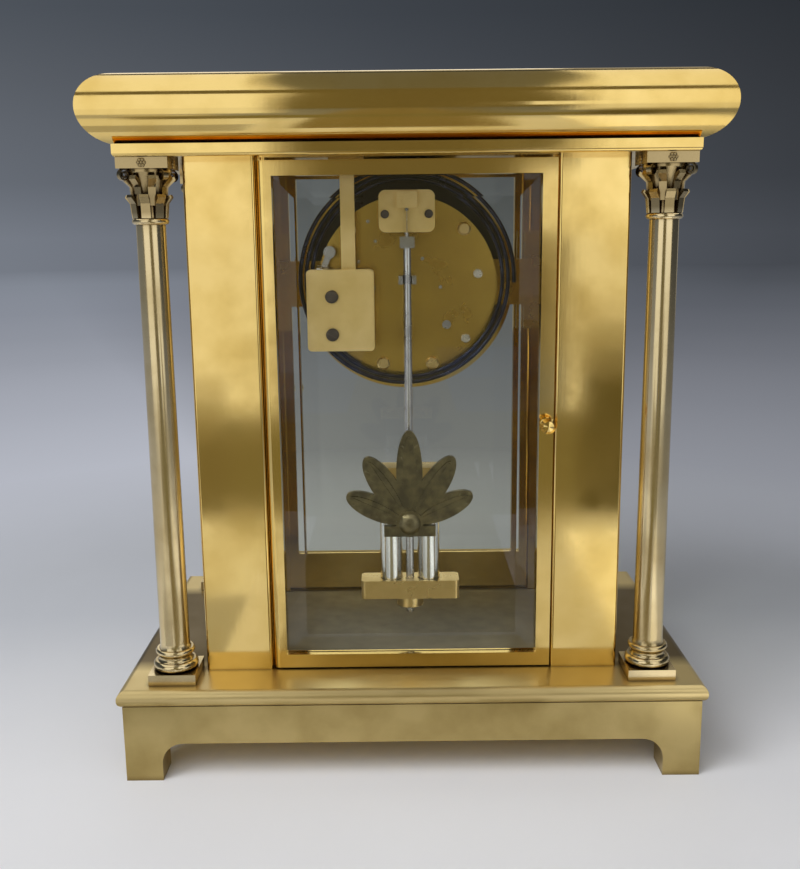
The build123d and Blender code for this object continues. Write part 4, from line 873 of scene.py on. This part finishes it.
# Each level card: name, span along X, span along Y, Z, tone
FLOOR_CARD_Z = 0.001
OVER_Z = 0.9
OVER_DEPTH = (-0.45, 0.62)
FLOOR_LEFT = (0.085, 0.24)
FLOOR_RIGHT = (-0.20, -0.100)
LEVEL_CARDS = [
    ("dark_floor", (-0.058, 0.060), (0.128, 1.4), 2 * FLOOR_CARD_Z, (0.22, 0.185, 0.10)),
    ("pale_floor_left_near", FLOOR_LEFT, (0.10, 0.21), FLOOR_CARD_Z, grey(0.42)),
    ("pale_floor_left_far", FLOOR_LEFT, (0.21, 0.42), FLOOR_CARD_Z, grey(0.76)),
    ("pale_floor_right_near", FLOOR_RIGHT, (0.10, 0.32), FLOOR_CARD_Z, grey(1.16)),
    ("pale_floor_right_far", FLOOR_RIGHT, (0.32, 0.42), FLOOR_CARD_Z, grey(0.60)),
    ("pale_over_left", (0.13, 1.0), OVER_DEPTH, OVER_Z, grey(1.0)),
    ("pale_over_right", (-1.0, -0.175), OVER_DEPTH, OVER_Z, grey(1.0)),
    ("grey_over_middle", (-0.175, 0.13), OVER_DEPTH, OVER_Z, (0.15, 0.15, 0.14)),
]


def stage_object(name, builder):
    """Object of the stage from a bmesh."""
    mesh = bpy.data.meshes.new(name)
    builder.to_mesh(mesh)
    builder.free()
    made = bpy.data.objects.new(name, mesh)
    bpy.context.scene.collection.objects.link(made)
    return made


def side_factor(tree, across, shares):
    """Brightness that changes from the image's right to its left, from a sideways direction."""
    place = scaled(tree, across, -SIDE_SPAN, SIDE_SPAN)
    return ramp(tree, place, [(position, grey(share)) for position, share in shares])


def stage_floor():
    """Round floor, pale and matt round the clock, fading with distance into the tones of the room."""
    builder = bmesh.new()
    bmesh.ops.create_circle(builder, cap_ends=True, radius=FLOOR_REACH, segments=FLOOR_SEGMENTS)
    floor = stage_object("stage_floor", builder)
    made, tree, shader, output = material("stage_floor")
    place = object_coordinates(tree)
    reach = vector_maths(tree, "LENGTH", place)
    across = parts_of(tree, vector_maths(tree, "NORMALIZE", place))["X"]
    grain = noise(tree, FLOOR_GRAIN)
    # Painted shadow: the floor's colour grows dimmer towards -Y, on the far side of the clock from the
    # camera
    nearness = scaled(tree, parts_of(tree, place)["Y"], DIM_BACK, DIM_FRONT)
    dim = two_tones(tree, grain, PAINT_TONES_AT, *FLOOR_DIM)
    pale = two_tones(tree, grain, PAINT_TONES_AT, *FLOOR_PALE)
    tree.links.new(mix_colour(tree, nearness, dim, pale), shader.inputs["Base Color"])
    shader.inputs["Roughness"].default_value = FLOOR_ROUGHNESS
    shader.inputs["Specular IOR Level"].default_value = FLOOR_SPECULAR
    # Painted light: beyond FADE_START the floor glows though it is no lamp. Its tones darken with distance,
    # and its strength is highest towards the image's left and low from the middle to the right. This gives a
    # painted falloff of light from the left and a painted shadow on the right
    far = tree.nodes.new("ShaderNodeEmission")
    tone = ramp(tree, scaled(tree, reach, 0, FLOOR_REACH), FLOOR_TONES)
    tree.links.new(tone, far.inputs["Color"])
    near_side = side_factor(tree, across, NEAR_SIDES)
    far_side = side_factor(tree, across, FAR_SIDES)
    distance = scaled(tree, reach, SIDE_NEAR, SIDE_FAR)
    tree.links.new(mix_colour(tree, distance, near_side, far_side), far.inputs["Strength"])
    fade = scaled(tree, reach, FADE_START, FADE_END)
    surface = mix_shader(tree, fade, shader.outputs["BSDF"], far.outputs["Emission"])
    tree.links.new(surface, output.inputs["Surface"])
    floor.data.materials.append(made)


def stage_world():
    """Slate room, darker overhead; matt surfaces get an even grey fill from it."""
    world = bpy.data.worlds.new("stage_world")
    bpy.context.scene.world = world
    world.use_nodes = True
    tree = world.node_tree
    tree.nodes.clear()
    output = tree.nodes.new("ShaderNodeOutputWorld")
    direction = parts_of(tree, tree.nodes.new("ShaderNodeTexCoord").outputs["Generated"])
    seen = tree.nodes.new("ShaderNodeBackground")
    tone = ramp(tree, scaled(tree, direction["Z"], 0, ROOM_HEIGHT), ROOM_TONES)
    tree.links.new(tone, seen.inputs["Color"])
    tree.links.new(side_factor(tree, direction["X"], FAR_SIDES), seen.inputs["Strength"])
    fill = tree.nodes.new("ShaderNodeBackground")
    fill.inputs["Color"].default_value = (*FILL_TONE, 1)
    diffuse_ray = tree.nodes.new("ShaderNodeLightPath").outputs["Is Diffuse Ray"]
    surface = mix_shader(tree, diffuse_ray, seen.outputs["Background"], fill.outputs["Background"])
    tree.links.new(surface, output.inputs["Surface"])


def soft_box(name, place, aim, width, height, radiance, mirrored):
    """Rectangular area lamp of an even radiance, aimed at a point, seen or not seen in polished metal."""
    lamp = bpy.data.lights.new(name, "AREA")
    lamp.shape = "RECTANGLE"
    lamp.size = width
    lamp.size_y = height
    lamp.energy = radiance * math.pi * width * height
    made = bpy.data.objects.new(name, lamp)
    bpy.context.scene.collection.objects.link(made)
    made.location = place
    made.rotation_mode = "QUATERNION"
    made.rotation_quaternion = (Vector(aim) - Vector(place)).to_track_quat("-Z", "Y")
    made.visible_glossy = mirrored
    made.visible_camera = False


def standing(span, y, foot, top):
    """Corners of an upright card."""
    return ((span[0], y, foot), (span[1], y, foot), (span[1], y, top), (span[0], y, top))


def lying(span, depth, z):
    """Corners of a level card."""
    return ((span[0], depth[0], z), (span[1], depth[0], z), (span[1], depth[1], z), (span[0], depth[1], z))


def seen_through_glass(tree):
    """1 for rays that reach a card straight through panes, 0 once they have met polished metal."""
    rays = tree.nodes.new("ShaderNodeLightPath").outputs
    direct = maths(tree, "LESS_THAN", rays["Glossy Depth"], 0.5)
    return maths(tree, "MULTIPLY", rays["Is Transmission Ray"], direct)


def room_card(name, corners, tone):
    """Card of one tone that only polished metal shows, behind glass too."""
    builder = bmesh.new()
    builder.faces.new([builder.verts.new(corner) for corner in corners])
    card = stage_object(name, builder)
    made, tree, shader, output = material(name)
    tree.nodes.remove(shader)
    glow = tree.nodes.new("ShaderNodeEmission")
    glow.inputs["Color"].default_value = (*tone, 1)
    clear = tree.nodes.new("ShaderNodeBsdfTransparent")
    surface = mix_shader(tree, seen_through_glass(tree), glow.outputs["Emission"], clear.outputs["BSDF"])
    tree.links.new(surface, output.inputs["Surface"])
    card.data.materials.append(made)
    card.visible_camera = False
    card.visible_shadow = False
    card.visible_diffuse = False


stage_floor()
stage_world()
for box in SOFT_BOXES:
    soft_box(*box)
for name, span, y, foot, top, tone in UPRIGHT_CARDS:
    room_card(name, standing(span, y, foot, top), tone)
for name, span, strips in GRADED_CARDS:
    foot = 0.0
    for number, (top, tone) in enumerate(strips, 1):
        room_card(f"{name}_{number}", standing(span, EDGE_Y, foot, top), tone)
        foot = top
for name, span, depth, z, tone in LEVEL_CARDS:
    room_card(name, lying(span, depth, z), tone)


# Camera: the photograph's viewpoint, from behind the clock and a little above its middle

CAMERA_PLACE = (0.0032, 0.3845, 0.1888)
CAMERA_TURN = math.radians(0.01)
CAMERA_DOWN = math.radians(11.28)
CAMERA_ROLL = math.radians(-0.63)
FOCAL_PIXELS = 1000.0
IMAGE_LONG_SIDE = 869.0
SENSOR_WIDTH = 36.0
CLIP_START = 0.01


def photo_camera():
    """Camera that looks from the clock's rear with the photograph's frame."""
    data = bpy.data.cameras.new("photo_camera")
    data.sensor_width = SENSOR_WIDTH
    data.lens = FOCAL_PIXELS * SENSOR_WIDTH / IMAGE_LONG_SIDE
    data.clip_start = CLIP_START
    camera = bpy.data.objects.new("photo_camera", data)
    bpy.context.scene.collection.objects.link(camera)
    ahead = math.cos(CAMERA_DOWN)
    forward = Vector((math.sin(CAMERA_TURN) * ahead, -math.cos(CAMERA_TURN) * ahead, -math.sin(CAMERA_DOWN)))
    right = forward.cross(UP).normalized()
    up = right.cross(forward)
    tilted_right = math.cos(CAMERA_ROLL) * right + math.sin(CAMERA_ROLL) * up
    tilted_up = math.cos(CAMERA_ROLL) * up - math.sin(CAMERA_ROLL) * right
    turn = Matrix((tilted_right, tilted_up, -forward)).transposed()
    camera.matrix_world = Matrix.Translation(CAMERA_PLACE) @ turn.to_4x4()
    bpy.context.scene.camera = camera


photo_camera()
bpy.context.scene.view_settings.view_transform = "Standard"
